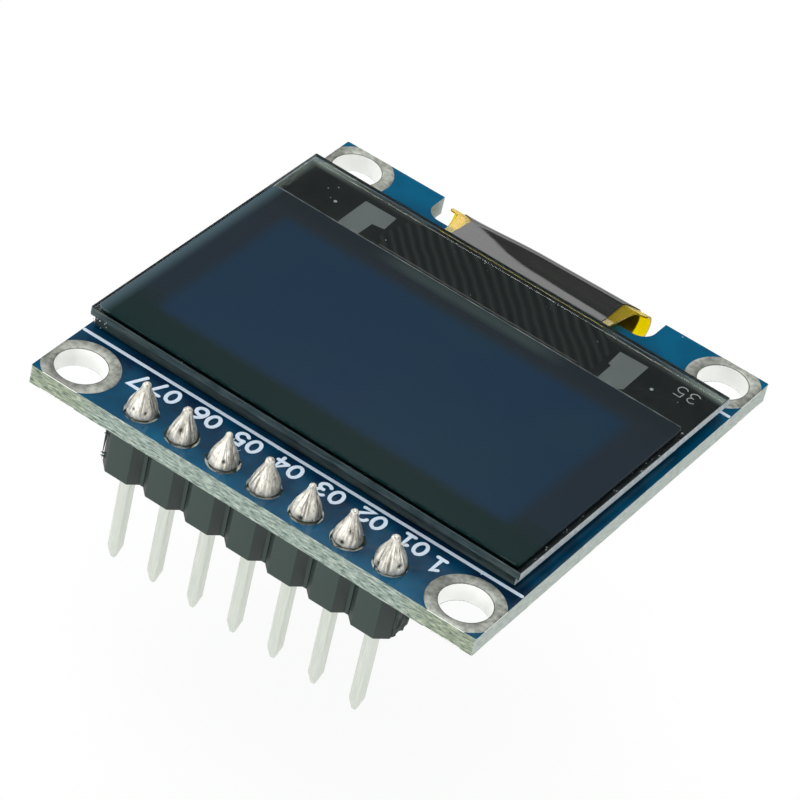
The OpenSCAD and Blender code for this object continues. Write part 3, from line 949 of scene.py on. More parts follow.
def polarizer_film(panel):
    """Circular polarizer over unlit cells: dark green-grey, deep blue over the picture area.

    The blue fades into the surround over a millimetre and carries the faint square
    grid of its cells. The surround is greener toward the header, paler along the
    left edge, and has a paler band inside the edge at the ledge that fades toward the sides.
    """
    material, tree, shader = new_material("polarizer film")
    place = coordinates(tree)
    local = panel_place(tree, place, panel)
    point = axes_of(tree, local.outputs[0])
    fades, distances = [], []
    for axis, centre, size in ((0, 0.0, panel.active_width), (1, panel.active_y, panel.active_length)):
        offset = calc(tree, "SUBTRACT", point[axis], centre)
        distance = calc(tree, "ABSOLUTE", offset)
        distances.append(distance)
        fades.append(add_node(
            tree, "ShaderNodeMapRange",
            {
                "interpolation_type": "SMOOTHSTEP", "From Min": size / 2 + 0.55 * MM,
                "From Max": size / 2 - 0.5 * MM
            },
            {0: distance},
        ))
    inside = calc(tree, "MULTIPLY", fades[0].outputs[0], fades[1].outputs[0])
    cell = panel.active_width / 128
    grid = add_node(
        tree, "ShaderNodeTexBrick",
        {"offset": 0.0, "squash": 1.0, "Scale": 1.0, "Mortar Size": cell * 0.12, "Brick Width": cell,
         "Row Height": cell, "Color1": (1, 1, 1, 1), "Color2": (1, 1, 1, 1), "Mortar": (0.88, 0.88, 0.88, 1)},
        {"Vector": local.outputs[0]},
    )
    wash = noise(tree, place["Object"], 5.0, 1.0)
    blue = blend(tree, wash, list(panel.active) + [1.0], linear("#1b3443"))
    picture = blend(tree, 1.0, blue, grid.outputs["Color"], "MULTIPLY")
    length = add_node(
        tree, "ShaderNodeMapRange",
        {"From Min": -PANEL_LENGTH / 2 * MM, "From Max": PANEL_LENGTH / 2 * MM}, {0: point[1]},
    )
    surround = graded(tree, length.outputs[0], [
        (0.0, "#0c2324"), (0.03, "#122727"), (0.1, "#162727"), (0.2, "#1d2932"),
        (0.6, "#202932"), (0.71, "#20292f"), (0.74, "#1e272c"), (1.0, "#192226"),
    ])
    wedge = add_node(
        tree, "ShaderNodeMapRange",
        {"interpolation_type": "SMOOTHSTEP", "From Min": 6.6 * MM, "From Max": 3.4 * MM}, {
            0: distances[0]
        },
    )
    # A paler band inside the back edge, strongest in the middle.
    pale_back_band = graded(tree, length.outputs[0], [(0.725, 0.0), (0.75, 1.0), (0.765, 1.0), (0.785, 0.0)])
    pale_back_band_share = calc(tree, "MULTIPLY", wedge.outputs[0], pale_back_band)
    behind = blend(tree, pale_back_band_share, surround, linear("#323d3e"))
    width = add_node(
        tree, "ShaderNodeMapRange",
        {"interpolation_type": "SMOOTHSTEP", "From Min": -12.2 * MM, "From Max": -13.0 * MM}, {
            0: point[0]
        },
    )
    border = blend(tree, width.outputs[0], behind, linear("#43565e"))
    colour = blend(tree, inside, border, picture)
    set_shader(tree, shader, {"Roughness": 0.12, "IOR": 1.49}, {"Base Color": colour})
    return material


def plain_film(name, hex_dark, hex_light, roughness, feature, metallic=0.0):
    """A thin layer whose tone wanders between two colours over the given millimetres."""
    material, tree, shader = new_material(name)
    place = coordinates(tree)
    cloud = noise(tree, place["Object"], feature, 3.0)
    colour = graded(tree, cloud, [(0.3, hex_dark), (0.7, hex_light)])
    bump = bumped(tree, cloud, 0.2, 0.01)
    set_shader(
        tree, shader, {"Roughness": roughness, "Metallic": metallic},
        {"Base Color": colour, "Normal": bump},
    )
    return material


def polyimide(flex):
    """Cast polyimide film: glossy amber in shadow, and clear bright yellow with light behind it."""
    material, tree, shader = new_material("polyimide film")
    place = coordinates(tree)
    cloud = noise(tree, place["Object"], 0.8, 2.0)
    colour = blend(tree, cloud, list(flex.amber) + [1.0], linear("#fff000"))
    bump = bumped(tree, cloud, 0.15, 0.02)
    set_shader(
        tree, shader, {"Roughness": 0.18, "IOR": 1.5, "Transmission Weight": 0.85},
        {"Base Color": colour, "Normal": bump},
    )
    return material


def cover_film(flex):
    """Printed cover film on the flex: dark, glossy and faintly drawn out along the fold."""
    material, tree, shader = new_material("flex cover film")
    place = coordinates(tree)
    drawn = add_node(tree, "ShaderNodeMapping", {"Scale": (0.08, 1.0, 1.0)}, {0: place["Object"]})
    lines = noise(tree, drawn.outputs[0], 0.3, 2.0)
    low = [c * 0.7 for c in flex.cover] + [1.0]
    high = [c * 1.3 for c in flex.cover] + [1.0]
    colour = blend(tree, lines, low, high)
    bump = bumped(tree, lines, 0.25, 0.02)
    set_shader(
        tree, shader, {"Roughness": 0.16, "IOR": 1.5},
        {"Base Color": colour, "Normal": bump},
    )
    return material


def black_matrix(panel):
    """Black film on the underside of the ledge: dark, with a painted reflection that turns it pale toward the back
    corners and along the left end.
    """
    material, tree, shader = new_material("black matrix")
    place = coordinates(tree)
    local = panel_place(tree, place, panel)
    point = axes_of(tree, local.outputs[0])
    cloud = noise(tree, place["Object"], 1.5, 3.0)
    dark = graded(tree, cloud, [(0.3, "#12181b"), (0.7, "#1e2426")])
    side = calc(tree, "ABSOLUTE", point[0])
    share = add_node(
        tree, "ShaderNodeMapRange", {"From Max": (GLASS_HIGH[0] - GLASS_LOW[0]) / 2 * MM}, {0: side}
    )
    # Painted reflection: paler toward both ends across X, near the back edge.
    painted_corner_sheen = graded(tree, share.outputs[0], [
        (0.38, 0.02), (0.44, 0.17), (0.62, 0.13), (0.72, 0.2), (0.84, 0.5), (0.94, 0.85),
        (1.0, 1.0),
    ])
    back = PANEL_LENGTH / 2 * MM
    rim = add_node(
        tree, "ShaderNodeMapRange",
        {
            "interpolation_type": "SMOOTHSTEP", "From Min": back - 0.95 * MM,
            "From Max": back - 0.25 * MM
        },
        {0: point[1]},
    )
    pale = calc(tree, "MULTIPLY", painted_corner_sheen, rim.outputs[0])
    left = add_node(
        tree, "ShaderNodeMapRange",
        {
            "interpolation_type": "SMOOTHSTEP", "From Min": -12.7 * MM, "From Max": -13.4 * MM,
            "To Max": 0.55
        },
        {0: point[0]},
    )
    # Share of painted reflection, at the back corners and along the left end.
    thin = calc(tree, "MAXIMUM", pale, left.outputs[0])
    colour = blend(tree, thin, dark, linear("#c2c8c4"))
    set_shader(tree, shader, {"Roughness": 0.6, "Specular IOR Level": 0.1}, {"Base Color": colour})
    return material


def fan_out():
    """Fan-out tracks too fine to part: soft slanting bands on a dark ground, drawn coarse."""
    material, tree, shader = new_material("fan-out tracks")
    place = coordinates(tree)
    bands = add_node(
        tree, "ShaderNodeTexWave",
        {"bands_direction": "DIAGONAL", "Scale": 0.444 * per_mm(0.55), "Distortion": 2.5, "Detail": 2.0,
         "Detail Scale": 0.35, "Detail Roughness": 0.6},
        {"Vector": place["Object"]},
    )
    colour = graded(
        tree, bands.outputs["Fac"],
        [(0.0, "#0c1216"), (0.35, "#192024"), (0.75, "#262d2d"), (1.0, "#333938")]
    )
    set_shader(tree, shader, {"Roughness": 0.6, "Specular IOR Level": 0.1}, {"Base Color": colour})
    return material


def glazed_resistor():
    """Thick-film resistor: black glass on its face, white alumina on its sides."""
    material, tree, shader = new_material("glazed alumina")
    place = coordinates(tree)
    normal = axes_of(tree, place["Normal"])
    face = calc(tree, "LESS_THAN", normal[2], -0.5)
    grain = noise(tree, place["Object"], 0.1, 3.0)
    ceramic = graded(tree, grain, [(0.3, "#c9c8c0"), (0.7, "#e8e6df")])
    colour = blend(tree, face, ceramic, linear("#161718"))
    set_shader(tree, shader, {"Roughness": 0.3}, {"Base Color": colour})
    return material


# ---------- operators ----------


class OLED_OT_board(bpy.types.Operator):
    """Finish the board with solder mask, and lay the tracks and vias that show through it"""
    bl_idname = "oled.board"
    bl_label = "Board"

    def execute(self, context):
        board = context.scene.oled_board
        finish_nodes(["circuit_board"], solder_mask(board))
        width = board.track_width / MM
        shapes = []
        for path in under_tracks():
            shapes.append(stroke(path, width, UNDER - 0.025, UNDER + 0.01))
        make_piece("underside_tracks", shapes, [covered_copper(board)])
        vias = [annulus(at, 0.14, 0.32, UNDER - 0.035, UNDER + 0.01, 24) for at in VIA_AT]
        make_piece("vias", vias, [covered_copper(board)])
        return {"FINISHED"}


VIA_AT = [(-11.2, -3.4), (-9.6, 1.0), (-3.4, 0.2), (2.6, 0.2), (9.8, 0.4), (11.6, -2.6), (0.2, -5.4), (4.6, -6.2),
          (-2.6, -7.4), (11.0, 5.6), (-11.4, 5.0), (2.0, -8.2)]


def under_tracks():
    """Tracks on the underside: from the pins to the small parts, and from those to the contacts."""
    tracks = []
    for index, x in enumerate(PIN_X):
        turn_y = -9.6 + 0.45 * abs(index - 3)
        target = (index - 3) * -1.9
        tracks.append([(x, ROW_Y), (x, turn_y), (x + np.clip(target - x, -1.2, 1.2), turn_y + 1.2),
                       (x + np.clip(target - x, -1.2, 1.2), -4.4 - 0.2 * index)])
    for x in (-6.0, -3.5, -1.0, 1.5, 4.0, 6.5):
        tracks.append([(x, -2.9), (x, -3.4), (x - 0.6, -4.0)])
        tracks.append([(x, -0.7), (x, 0.2), (x + 0.5, 0.7), (x + 0.5, 1.3)])
    for x in (-8.0, -5.0, -2.0, 1.0, 4.0, 8.0):
        tracks.append([(x, 3.5), (x, 4.6)])
    return tracks


class OLED_OT_rings(bpy.types.Operator):
    """Finish the plated rings and pads in levelled tin, domed on both faces, with a thin dull lip"""
    bl_idname = "oled.rings"
    bl_label = "Plated rings"

    def execute(self, context):
        tin = levelled_tin()
        rings = [f"mounting_ring_{i}" for i in range(1, RING_COUNT + 1)]
        finish_nodes(rings + ["header_pads"], tin)
        lands, lips = [], []
        for node in rings:
            low, high = span(node)
            at = hole_centre(low, high)
            reach = (BOARD_HIGH[0] - abs(at[0]), BOARD_HIGH[1] - abs(at[1]))
            lands.append(land(at, HOLE_R + 0.035, LAND_R, reach, TOP, 0.03))
            points, faces = land(at, HOLE_R + 0.035, LAND_R, reach, 0.0, 0.03)
            lands.append((points * [1, 1, -1] + [0, 0, UNDER], [face[::-1] for face in faces]))
            lips.append(annulus(at, HOLE_R, HOLE_R + 0.045, TOP - 0.01, TOP + 0.012, 96))
            lips.append(annulus(at, HOLE_R, HOLE_R + 0.045, UNDER - 0.012, UNDER + 0.01, 96))
        make_piece("lands", lands, [tin], 60)
        make_piece(
            "land_lips", lips, [plain_film("oxidised tin", "#3a3e3b", "#6d716b", 0.5, 0.3, 0.4)],
        )
        return {"FINISHED"}


def hole_centre(low, high):
    """Middle of a mounting hole: a whole land's radius out from the sides of the ring that face inward."""
    inner = np.where(low[:2] > 0, low[:2], high[:2])
    return inner + np.sign(inner) * LAND_R


class OLED_OT_print(bpy.types.Operator):
    """Print the frame lines and the plain pin numbers on both faces of the board"""
    bl_idname = "oled.print"
    bl_label = "Printed marks"

    def execute(self, context):
        board = context.scene.oled_board
        ink = screen_ink(board)
        line = board.line_width / MM
        height = board.digit_height / MM
        low, high = TOP - 0.01, TOP + 0.02
        front = BOARD_LOW[1] + board.line_inset / MM
        shapes = [
            stroke([(BOARD_LOW[0] + 0.12, front), (BOARD_HIGH[0] - 0.12, front)], line, low, high)
        ]
        back = 9.85
        for start, stop in ((BOARD_LOW[0] + 0.12, -7.6), (7.6, BOARD_HIGH[0] - 0.12)):
            shapes.append(stroke([(start, back), (stop, back)], line, low, high))
        text_y = front - 0.87
        for index, x in enumerate(PIN_X):
            shapes += number(f"0{index + 1}", (x, text_y), height, line, low, high, math.pi)
        shapes += number(
            "7", (PIN_X[-1] - 1.45, text_y - 0.3), height * 1.1, line, low, high, math.pi
        )
        shapes += number(
            "1", (PIN_X[0] + 1.65, text_y - 0.35), height * 1.1, line, low, high, math.pi
        )
        make_piece("print_top", shapes, [ink])
        under_low, under_high = UNDER - 0.03, UNDER + 0.01
        shapes = []
        for node in ["regulator_body", "diode_body"]:
            (x0, y0, _), (x1, y1, _) = span(node)
            box = [
                (x0 - 0.3, y0 - 0.3), (x1 + 0.3, y0 - 0.3), (x1 + 0.3, y1 + 0.3),
                (x0 - 0.3, y1 + 0.3)
            ]
            shapes.append(stroke(box, 0.15, under_low, under_high, closed=True))
        for index, x in enumerate(PIN_X):
            shapes += number(
                str(index + 1), (x, ROW_Y + 2.3), 1.1, 0.16, under_low, under_high, 0.0, -1.0
            )
        make_piece("print_underside", shapes, [ink])
        return {"FINISHED"}


class OLED_OT_joints(bpy.types.Operator):
    """Make the seven hand-soldered joints and the painted shadow rings at their feet"""
    bl_idname = "oled.joints"
    bl_label = "Solder joints"

    def execute(self, context):
        solder = context.scene.oled_solder
        metal, foot_shadow_finish = frozen_solder(), painted_foot_shadow()
        rings = []
        for index, x in enumerate(PIN_X):
            random = np.random.default_rng(solder.seed + index)
            height = span(f"header_pin_{index + 1}")[1][2] - TOP + 0.04
            shape, dips = joint(
                solder.foot_radius / MM, height, JOINT_LOOKS[index], solder.groove_depth / MM, random
            )
            shapes = [moved(shape, (x, ROW_Y, TOP))]
            for base, tip, radius in SPIKES.get(index, []):
                shapes.append(moved(spike(base, tip, radius), (x, ROW_Y, TOP)))
            piece = make_piece(f"joint_{index + 1}", shapes, [metal], 70)
            dips = np.concatenate([dips, np.zeros(len(piece.data.vertices) - len(dips))])
            # The groove and pit values go on the points to paint shade into them.
            groove = piece.data.attributes.new("groove", "FLOAT", "POINT")
            groove.data.foreach_set("value", dips.astype(np.float32))
            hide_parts(f"solder_joint_{index + 1}")
            # A dark ring at each foot: painted shadow.
            rings.append(pool((x, ROW_Y), 0.66, 0.88, TOP, random))
        make_piece("joint_foot_shadow", rings, [foot_shadow_finish])
        finish_nodes(["flex_solder", "capacitor_ends", "resistor_ends"], metal)
        return {"FINISHED"}


# For each joint from pin 1: size, tip radius, lumpiness, number of grooves, pits as angle, level
# and spread, and lean
JOINT_LOOKS = [
    (1.05, 0.24, 1.7, 8, [(-2.1, 0.12, 0.2), (-0.4, 0.3, 0.14)], (-0.02, 0.02)),
    (0.97, 0.2, 1.2, 14, [(-1.45, 0.13, 0.2), (-1.0, 0.5, 0.1)], (0.02, 0.04)),
    (0.98, 0.18, 1.3, 15, [(-1.35, 0.1, 0.2)], (0.03, 0.05)),
    (1.0, 0.24, 0.7, 6, [(0.5, 0.45, 0.12)], (0.0, 0.02)),
    (0.96, 0.18, 1.2, 10, [(-1.0, 0.28, 0.12)], (0.02, 0.04)),
    (0.95, 0.25, 1.8, 7, [(-1.3, 0.45, 0.16), (0.1, 0.6, 0.12)], (0.04, 0.0)),
    (1.0, 0.23, 0.9, 10, [(-1.7, 0.3, 0.08), (-0.7, 0.25, 0.1)], (0.02, 0.02)),
]
SPIKES = {
    2: [
        ((0.1, 0.08, 1.45), (0.36, 0.26, 1.62), 0.05), ((0.25, 0.15, 0.85), (0.62, 0.3, 0.78), 0.05)
    ],
    4: [((0.12, 0.08, 1.4), (0.4, 0.26, 1.7), 0.045), ((0.3, 0.2, 0.7), (0.66, 0.4, 0.95), 0.04)],
    0: [((0.15, 0.1, 1.3), (0.5, 0.32, 1.55), 0.06)],
}


def pool(centre, inner, outer, low, random):
    """A painted shadow round a joint: a low ring whose outer radius wanders by sums of cosines of the angle."""
    turn = np.linspace(0, 2 * math.pi, 73)[:-1]
    edge = outer + sum(0.04 * np.cos(n * turn + random.uniform(0, 6.3)) for n in (2, 3, 5, 7))
    radius = np.column_stack(
        [edge, np.full_like(turn, inner), np.full_like(turn, inner), edge - 0.05]
    )
    height = low + np.array([-0.01, -0.01, 0.045, 0.02])
    x, y = centre[0] + radius * np.cos(turn)[:, None], centre[1] + radius * np.sin(turn)[:, None]
    return skin(np.stack([x, y, np.broadcast_to(height, x.shape)], axis=-1), closed=True)


WEB_REACH = 0.83


class OLED_OT_header(bpy.types.Operator):
    """Round the moulded housing's edges, tear its snapped ends and draw the pins"""
    bl_idname = "oled.header"
    bl_label = "Pin header"

    def execute(self, context):
        header = context.scene.oled_header
        nylon, torn = moulded_nylon(header), moulded_nylon(header, "torn nylon", True)
        rounded_copy("header_housing", "housing", nylon, header.edge_radius)
        random = np.random.default_rng(5)
        low, high = span("header_housing")
        steps = np.linspace(0, 1, 13)[:-1, None]
        corners = np.array([(ROW_Y - 0.62, low[2] + 0.03), (ROW_Y + 0.62, low[2] + 0.03),
                            (ROW_Y + 0.62, high[2] - 0.05), (ROW_Y - 0.62, high[2] - 0.05)])
        edges = [a + (b - a) * steps for a, b in zip(corners, np.roll(corners, -1, 0))]
        outline = np.vstack(edges)
        ragged = outline + random.uniform(-0.05, 0.05, outline.shape)
        shapes = [torn_face(ragged, high[0], 0.16, random)]
        burr = header.burr / MM
        front = ROW_Y - 0.95
        for rise in (-0.5, -1.75, -1.95):
            tip = (low[0] + 0.3 - burr, front - 0.1, rise + 0.04)
            shapes.append(spike((low[0] + 0.3, front, rise), tip, 0.09))
        thread = (low[0] + 0.12, front, high[2] - 0.3), (low[0] + 0.1, front - 0.05, low[2] + 0.3)
        shapes.append(spike(*thread, 0.07))
        webs = []
        for x in [(a + b) / 2 for a, b in zip(PIN_X, PIN_X[1:])]:
            for side in (-1, 1):
                out, deep = ROW_Y + side * WEB_REACH, ROW_Y + side * (WEB_REACH - 0.25)
                y0, y1 = min(out, deep), max(out, deep)
                webs.append(plate([(x - 0.11, y0), (x + 0.11, y0), (x + 0.11, y1), (x - 0.11, y1)],
                                  low[2] + 0.05, high[2] - 0.05))
        make_piece("housing_webs", webs, [nylon])
        make_piece("housing_tears", shapes, [torn], 30)
        metal = drawn_pin()
        for index, x in enumerate(PIN_X):
            node = f"header_pin_{index + 1}"
            low, high = span(node)
            piece = make_piece(
                f"pin_{index + 1}", [
                    moved(wire(PIN_SIDE, low[2], high[2], 0.75, 1.05, 0.28), (x, ROW_Y, 0))
                ],
                [metal],
            )
            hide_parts(node)
        return {"FINISHED"}


class OLED_OT_panel(bpy.types.Operator):
    """Make the display panel: clear front glass, polarizer, cap glass and the dark layers between"""
    bl_idname = "oled.panel"
    bl_label = "Display panel"

    def execute(self, context):
        panel = context.scene.oled_panel
        turn, chamfer = panel.turn, panel.edge_chamfer / MM
        width, length = unturned(span("front_glass"), turn)
        shape = slab(width, length, 0.08, GLASS_LOW[2] + 0.012, GLASS_HIGH[2], chamfer)
        piece = make_piece(
            "glass", [on_panel(shape, turn)], [clear_glass(), ground_edge(), snapped_edge()],
            20, edge_finish,
        )
        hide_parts("front_glass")
        low, high = span("polarizer")
        width, length = unturned((low, high), turn)
        shape = slab(width, length, 0.25, low[2] + 0.006, high[2], 0.03)
        centre = (low + high) / 2
        piece = make_piece(
            "polarizer_sheet", [moved(shape, (centre[0], centre[1], 0), turn)], [polarizer_film(panel)], 20
        )
        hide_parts("polarizer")
        low, high = span("cap_glass")
        width, length = unturned((low, high), turn)
        centre = (low + high) / 2
        shape = slab(width, length, 0.1, low[2], high[2], chamfer)
        piece = make_piece(
            "cap", [moved(shape, (centre[0], centre[1], 0), turn)], [
                snapped_edge(), ground_edge(), snapped_edge()
            ],
            20, edge_finish,
        )
        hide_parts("cap_glass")
        finish_nodes(
            ["emitter_layer"], plain_film("unlit film stack", "#07090c", "#0d1014", 0.2, 4.0)
        )
        finish_nodes(["edge_seal"], plain_film("cured edge seal", "#0c1112", "#1b2324", 0.5, 0.5))
        finish_nodes(
            ["mounting_tape", "blackout_tape"],
            plain_film("black film tape", "#0b0c0c", "#161818", 0.6, 0.8)
        )
        finish_nodes(
            ["driver_chip"], plain_film("bare silicon", "#17191b", "#232628", 0.25, 2.0, 0.6)
        )
        return {"FINISHED"}


def unturned(box, turn):
    """Width and length of a rectangle from its box once turned.

    Each side of the box is a sum of the sides times the cosine and the sine, solved for them.
    """
    low, high = box
    c, s = abs(math.cos(turn)), abs(math.sin(turn))
    return np.linalg.solve([[c, s], [s, c]], (high - low)[:2])


def edge_finish(normals):
    """0 on the faces and chamfers, 1 on the ground ends across X, 2 on the snapped sides across Y."""
    level = np.abs(normals[:, 2]) < 0.5
    across = np.abs(normals[:, 0]) > np.abs(normals[:, 1])
    return np.where(level & across, 1, np.where(level, 2, 0))


class OLED_OT_ledge(bpy.types.Operator):
    """Lay the films on the underside of the front glass: the dark ground, fan-out tracks, marks and pale margins"""
    bl_idname = "oled.ledge"
    bl_label = "Ledge films"

    def execute(self, context):
        turn = context.scene.oled_panel.turn
        ground = GLASS_LOW[2]
        half_x, half_y = unturned(span("front_glass"), turn) / 2

        def lay(name, outlines, material, low, high):
            shapes = [
                on_panel(plate(outline, ground + low, ground + high), turn) for outline in outlines
            ]
            make_piece(name, shapes, [material])

        lay("ledge_ground", [[(-half_x + 0.04, 5.1), (half_x - 0.04, 5.1), (
            half_x - 0.04, half_y - 0.04
        ),
                              (-half_x + 0.04, half_y - 0.04)]], black_matrix(context.scene.oled_panel), -0.002, 0.003)
        lay("ledge_tracks", [[(-6.95, 5.45), (5.9, 5.45), (6.6, 5.75), (6.95, 6.4), (6.9, 8.3), (6.3, 8.9), (5.5, 9.4),
                              (-5.6, 9.4), (-6.6, 8.9), (-6.95, 7.4)]], fan_out(), -0.002, 0.006)
        marks = [[
            (-9.2, 6.06), (-7.88, 5.0), (-7.85, 7.24), (-7.14, 7.38), (-7.24, 8.63), (-9.23, 8.59)
        ],
                 [(7.54, 5.0), (8.98, 6.19), (8.92, 8.69), (7.19, 8.61), (7.28, 7.35), (7.47, 7.29)]]
        grey = plain_film("sputtered molybdenum", "#818186", "#8b8b90", 0.4, 2.0)
        lay("ledge_patches", marks, grey, -0.002, 0.008)
        pale = plain_film("bright sputtered film", "#c9cfcd", "#dfe3e2", 0.4, 1.0)
        height = ground - 0.002, ground + 0.008
        dots = [disc(at, size, *height) for at, size in
                (((-10.31, 7.3), 0.1), ((10.0, 7.33), 0.1), ((13.02, 5.61), 0.06), ((-10.9, 8.4), 0.04))]
        digits = number("35", (11.55, 8.35), 0.85, 0.06, *height, math.pi)
        make_piece(
            "ledge_dots", [on_panel(shape, turn) for shape in dots + digits], [pale]
        )
        low, high = span("polarizer")
        rear = high[1] - PANEL_AT[1] - 0.16
        # A thin pale line on top of the film's back edge: a painted highlight.
        rim = stroke([(-12.85, rear), (12.9, rear)], 0.05, high[2] - 0.01, high[2] + 0.004)
        make_piece("polarizer_painted_highlight", [on_panel(rim, turn)],
                   [plain_film("painted highlight on the film edge", "#2b3437", "#77827f", 0.3, 0.9)])
        # A dark line on the glass just behind the film's edge: a painted shadow.
        seam = stroke(
            [(-6.4, rear + 0.42), (6.2, rear + 0.42)], 0.1, GLASS_HIGH[2] - 0.005,
            GLASS_HIGH[2] + 0.004
        )
        make_piece("polarizer_painted_shadow", [on_panel(seam, turn)],
                   [plain_film("painted shadow behind the film edge", "#07090a", "#14191a", 0.4, 0.6)])
        # Bright slivers along the right edge and the front-left corner: chips of the glass, painted pale as glints,
        # that is painted highlights.
        random = np.random.default_rng(3)
        chips = []
        for _ in range(16):
            at = np.array(
                [half_x - random.uniform(0.0, 0.25), random.uniform(-half_y, 5.0), GLASS_HIGH[2]]
            )
            reach = random.uniform(-0.12, 0.12, 3) * [1, 1, 0.2]
            chips.append(spike(at, at + reach, random.uniform(0.015, 0.035)))
        for _ in range(12):
            at = np.array(
                [-half_x + random.uniform(0.05, 1.2), -half_y + random.uniform(0.0, 0.06), 0.0]
            )
            at[2] = random.uniform(CAP_LOW[2], GLASS_HIGH[2] - 0.05)
            reach = random.uniform(-0.1, 0.1, 3) * [1, 0.3, 1]
            chips.append(spike(at, at + reach, random.uniform(0.02, 0.04)))
        make_piece("glass_glints", [on_panel(chip, turn) for chip in chips],
                   [plain_film("painted glints on chipped glass edges", "#71828a", "#e4ecef", 0.25, 0.3)])
        front, right = low[1] - PANEL_AT[1] + 0.12, high[0] - PANEL_AT[0] - 0.12
        for name, x0, x1, y0, y1, tones in (
            ("margin_left", -half_x + 0.03, -12.97, -half_y + 0.05, 5.05, ("#3c4649", "#5c6567")),
            ("margin_right", right, half_x - 0.04, -half_y + 0.05, 5.05, ("#1d272d", "#36434b")),
            ("margin_front", -12.9, right - 0.02, -half_y + 0.04, front, ("#141f1f", "#263232")),
        ):
            film_tone = plain_film(name.replace("_", " "), *tones, 0.5, 0.6)
            lay(name, [[(x0, y0), (x1, y0), (x1, y1), (x0, y1)]], film_tone, -0.002, 0.004)
        return {"FINISHED"}


class OLED_OT_flex(bpy.types.Operator):
    """Fold the flex: amber film with rounded shoulders, and its dark glossy cover"""
    bl_idname = "oled.flex"
    bl_label = "Flex"

    def execute(self, context):
        flex = context.scene.oled_flex
        top, thick = GLASS_LOW[2], -FLEX_LOW[2]
        radius = (top - thick) / 2 + thick / 2
        axis_y, axis_z = FLEX_HIGH[1] - radius - thick / 2, top - thick / 2 - radius
        start, edge, tail = GLASS_HIGH[1] - 0.9, GLASS_HIGH[1] - 0.06, span("flex_base")[0][1]
        turn = np.radians(np.linspace(90, -90, 41))[1:-1]
        flat = np.concatenate([[start], np.linspace(edge, axis_y, 28)])
        fold = np.column_stack([axis_y + radius * np.cos(turn), axis_z + radius * np.sin(turn)])
        under_y = np.concatenate([[axis_y, 11.32, 11.28], 11.28 - np.array([0.06, 0.2, 0.4]),
                                  [7.6, tail + 0.4, tail + 0.2, tail + 0.06, tail]])
        path = np.vstack([
            np.column_stack([flat, np.full(len(flat), top - thick / 2)]), fold,
            np.column_stack([under_y, np.full(len(under_y), -thick / 2)]),
        ])
        centre, neck, full, wide = middle("flex_base")[0], 5.3, 6.3, (FLEX_HIGH[0] - FLEX_LOW[0]) / 2
        flare = neck + 0.4 * np.clip((flat - edge) / (axis_y - edge), 0, 1) ** 2
        shoulder = np.clip((86 - np.degrees(turn)) / 14, 0, 1)
        round_off = (full - flare[-1]) * np.sqrt(1 - (1 - shoulder) ** 2)
        corner = wide - np.array([0.4, 0.19, 0.05, 0.0])
        widths = np.concatenate([
            flare, flare[-1] + round_off, [full, full], corner, [wide, wide], corner[::-1][1:]
        ])

        def ramp(distance):
            """A slope of one that starts softly: half of the distance and of its root of squares."""
            return 0.5 * (distance + np.sqrt(distance ** 2 + 0.01)) - 0.05

        def lift(x, y, z):
            """The film leaves the glass level, dips at an even slope, and climbs back to the fold.

            The slope starts 0.4 mm past the glass. It ends at 1.08 mm at +X, 0.35 mm further
            at the middle, and toward -X it reaches on to the fold.
            """
            past = np.clip(y - edge, 0, None)
            share = np.clip((-0.4 - x) / 4.8, 0, 1)
            end = 1.08 + 0.35 * np.clip((5.5 - x) / 6.5, 0, 1) + 1.3 * share ** 2 * (3 - 2 * share)
            dip = -0.16 * (ramp(past - 0.4) - ramp(past - end)) + 0.03 * ramp(past - end)
            level = 1 / (1 + np.exp(-(z - axis_z) / 0.12))
            return np.minimum(dip, 0) * level

        piece = make_piece(
            "flex_film", [film(path, widths, centre, thick, 0.0, lift)], [polyimide(flex)], 50
        )
        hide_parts("flex_base")
        cover = FLEX_LOW[2] - span("flex_cover")[0][2]
        kept = path[:, 0] >= 7.0
        kept &= ~((path[:, 1] > axis_z) & (path[:, 0] < edge - 0.02))
        past_top = np.clip((axis_z + radius - path[:, 1]) / (0.25 * radius), 0, 1)
        cover_width = np.where(widths > full + 0.1, widths - 0.25, 4.85 + 0.75 * past_top)
        piece = make_piece(
            "flex_cover_film",
            [film(path[kept], cover_width[kept], centre, cover, thick / 2 + cover / 2, lift)],
            [cover_film(flex)], 50,
        )
        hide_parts("flex_cover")
        return {"FINISHED"}


class OLED_OT_parts(bpy.types.Operator):
    """Finish the small parts on the underside"""
    bl_idname = "oled.parts"
    bl_label = "Underside parts"

    def execute(self, context):
        tin = levelled_tin()
        package = plain_film("moulded epoxy", "#16171a", "#232427", 0.55, 0.1)
        for node in ("regulator_body", "diode_body"):
            rounded_copy(
                node, node.replace("body", "package"), package, 0.03 * MM
            )
        finish_nodes(["regulator_leads", "diode_leads"], tin)
        ceramic = plain_film("fired ceramic", "#86694a", "#a3835f", 0.5, 0.15)
        for index in range(1, 9):
            rounded_copy(
                f"capacitor_{index}", f"capacitor_body_{index}", ceramic,
                0.03 * MM
            )
        finish_nodes([f"resistor_{index}" for index in range(1, 7)], glazed_resistor())
        return {"FINISHED"}


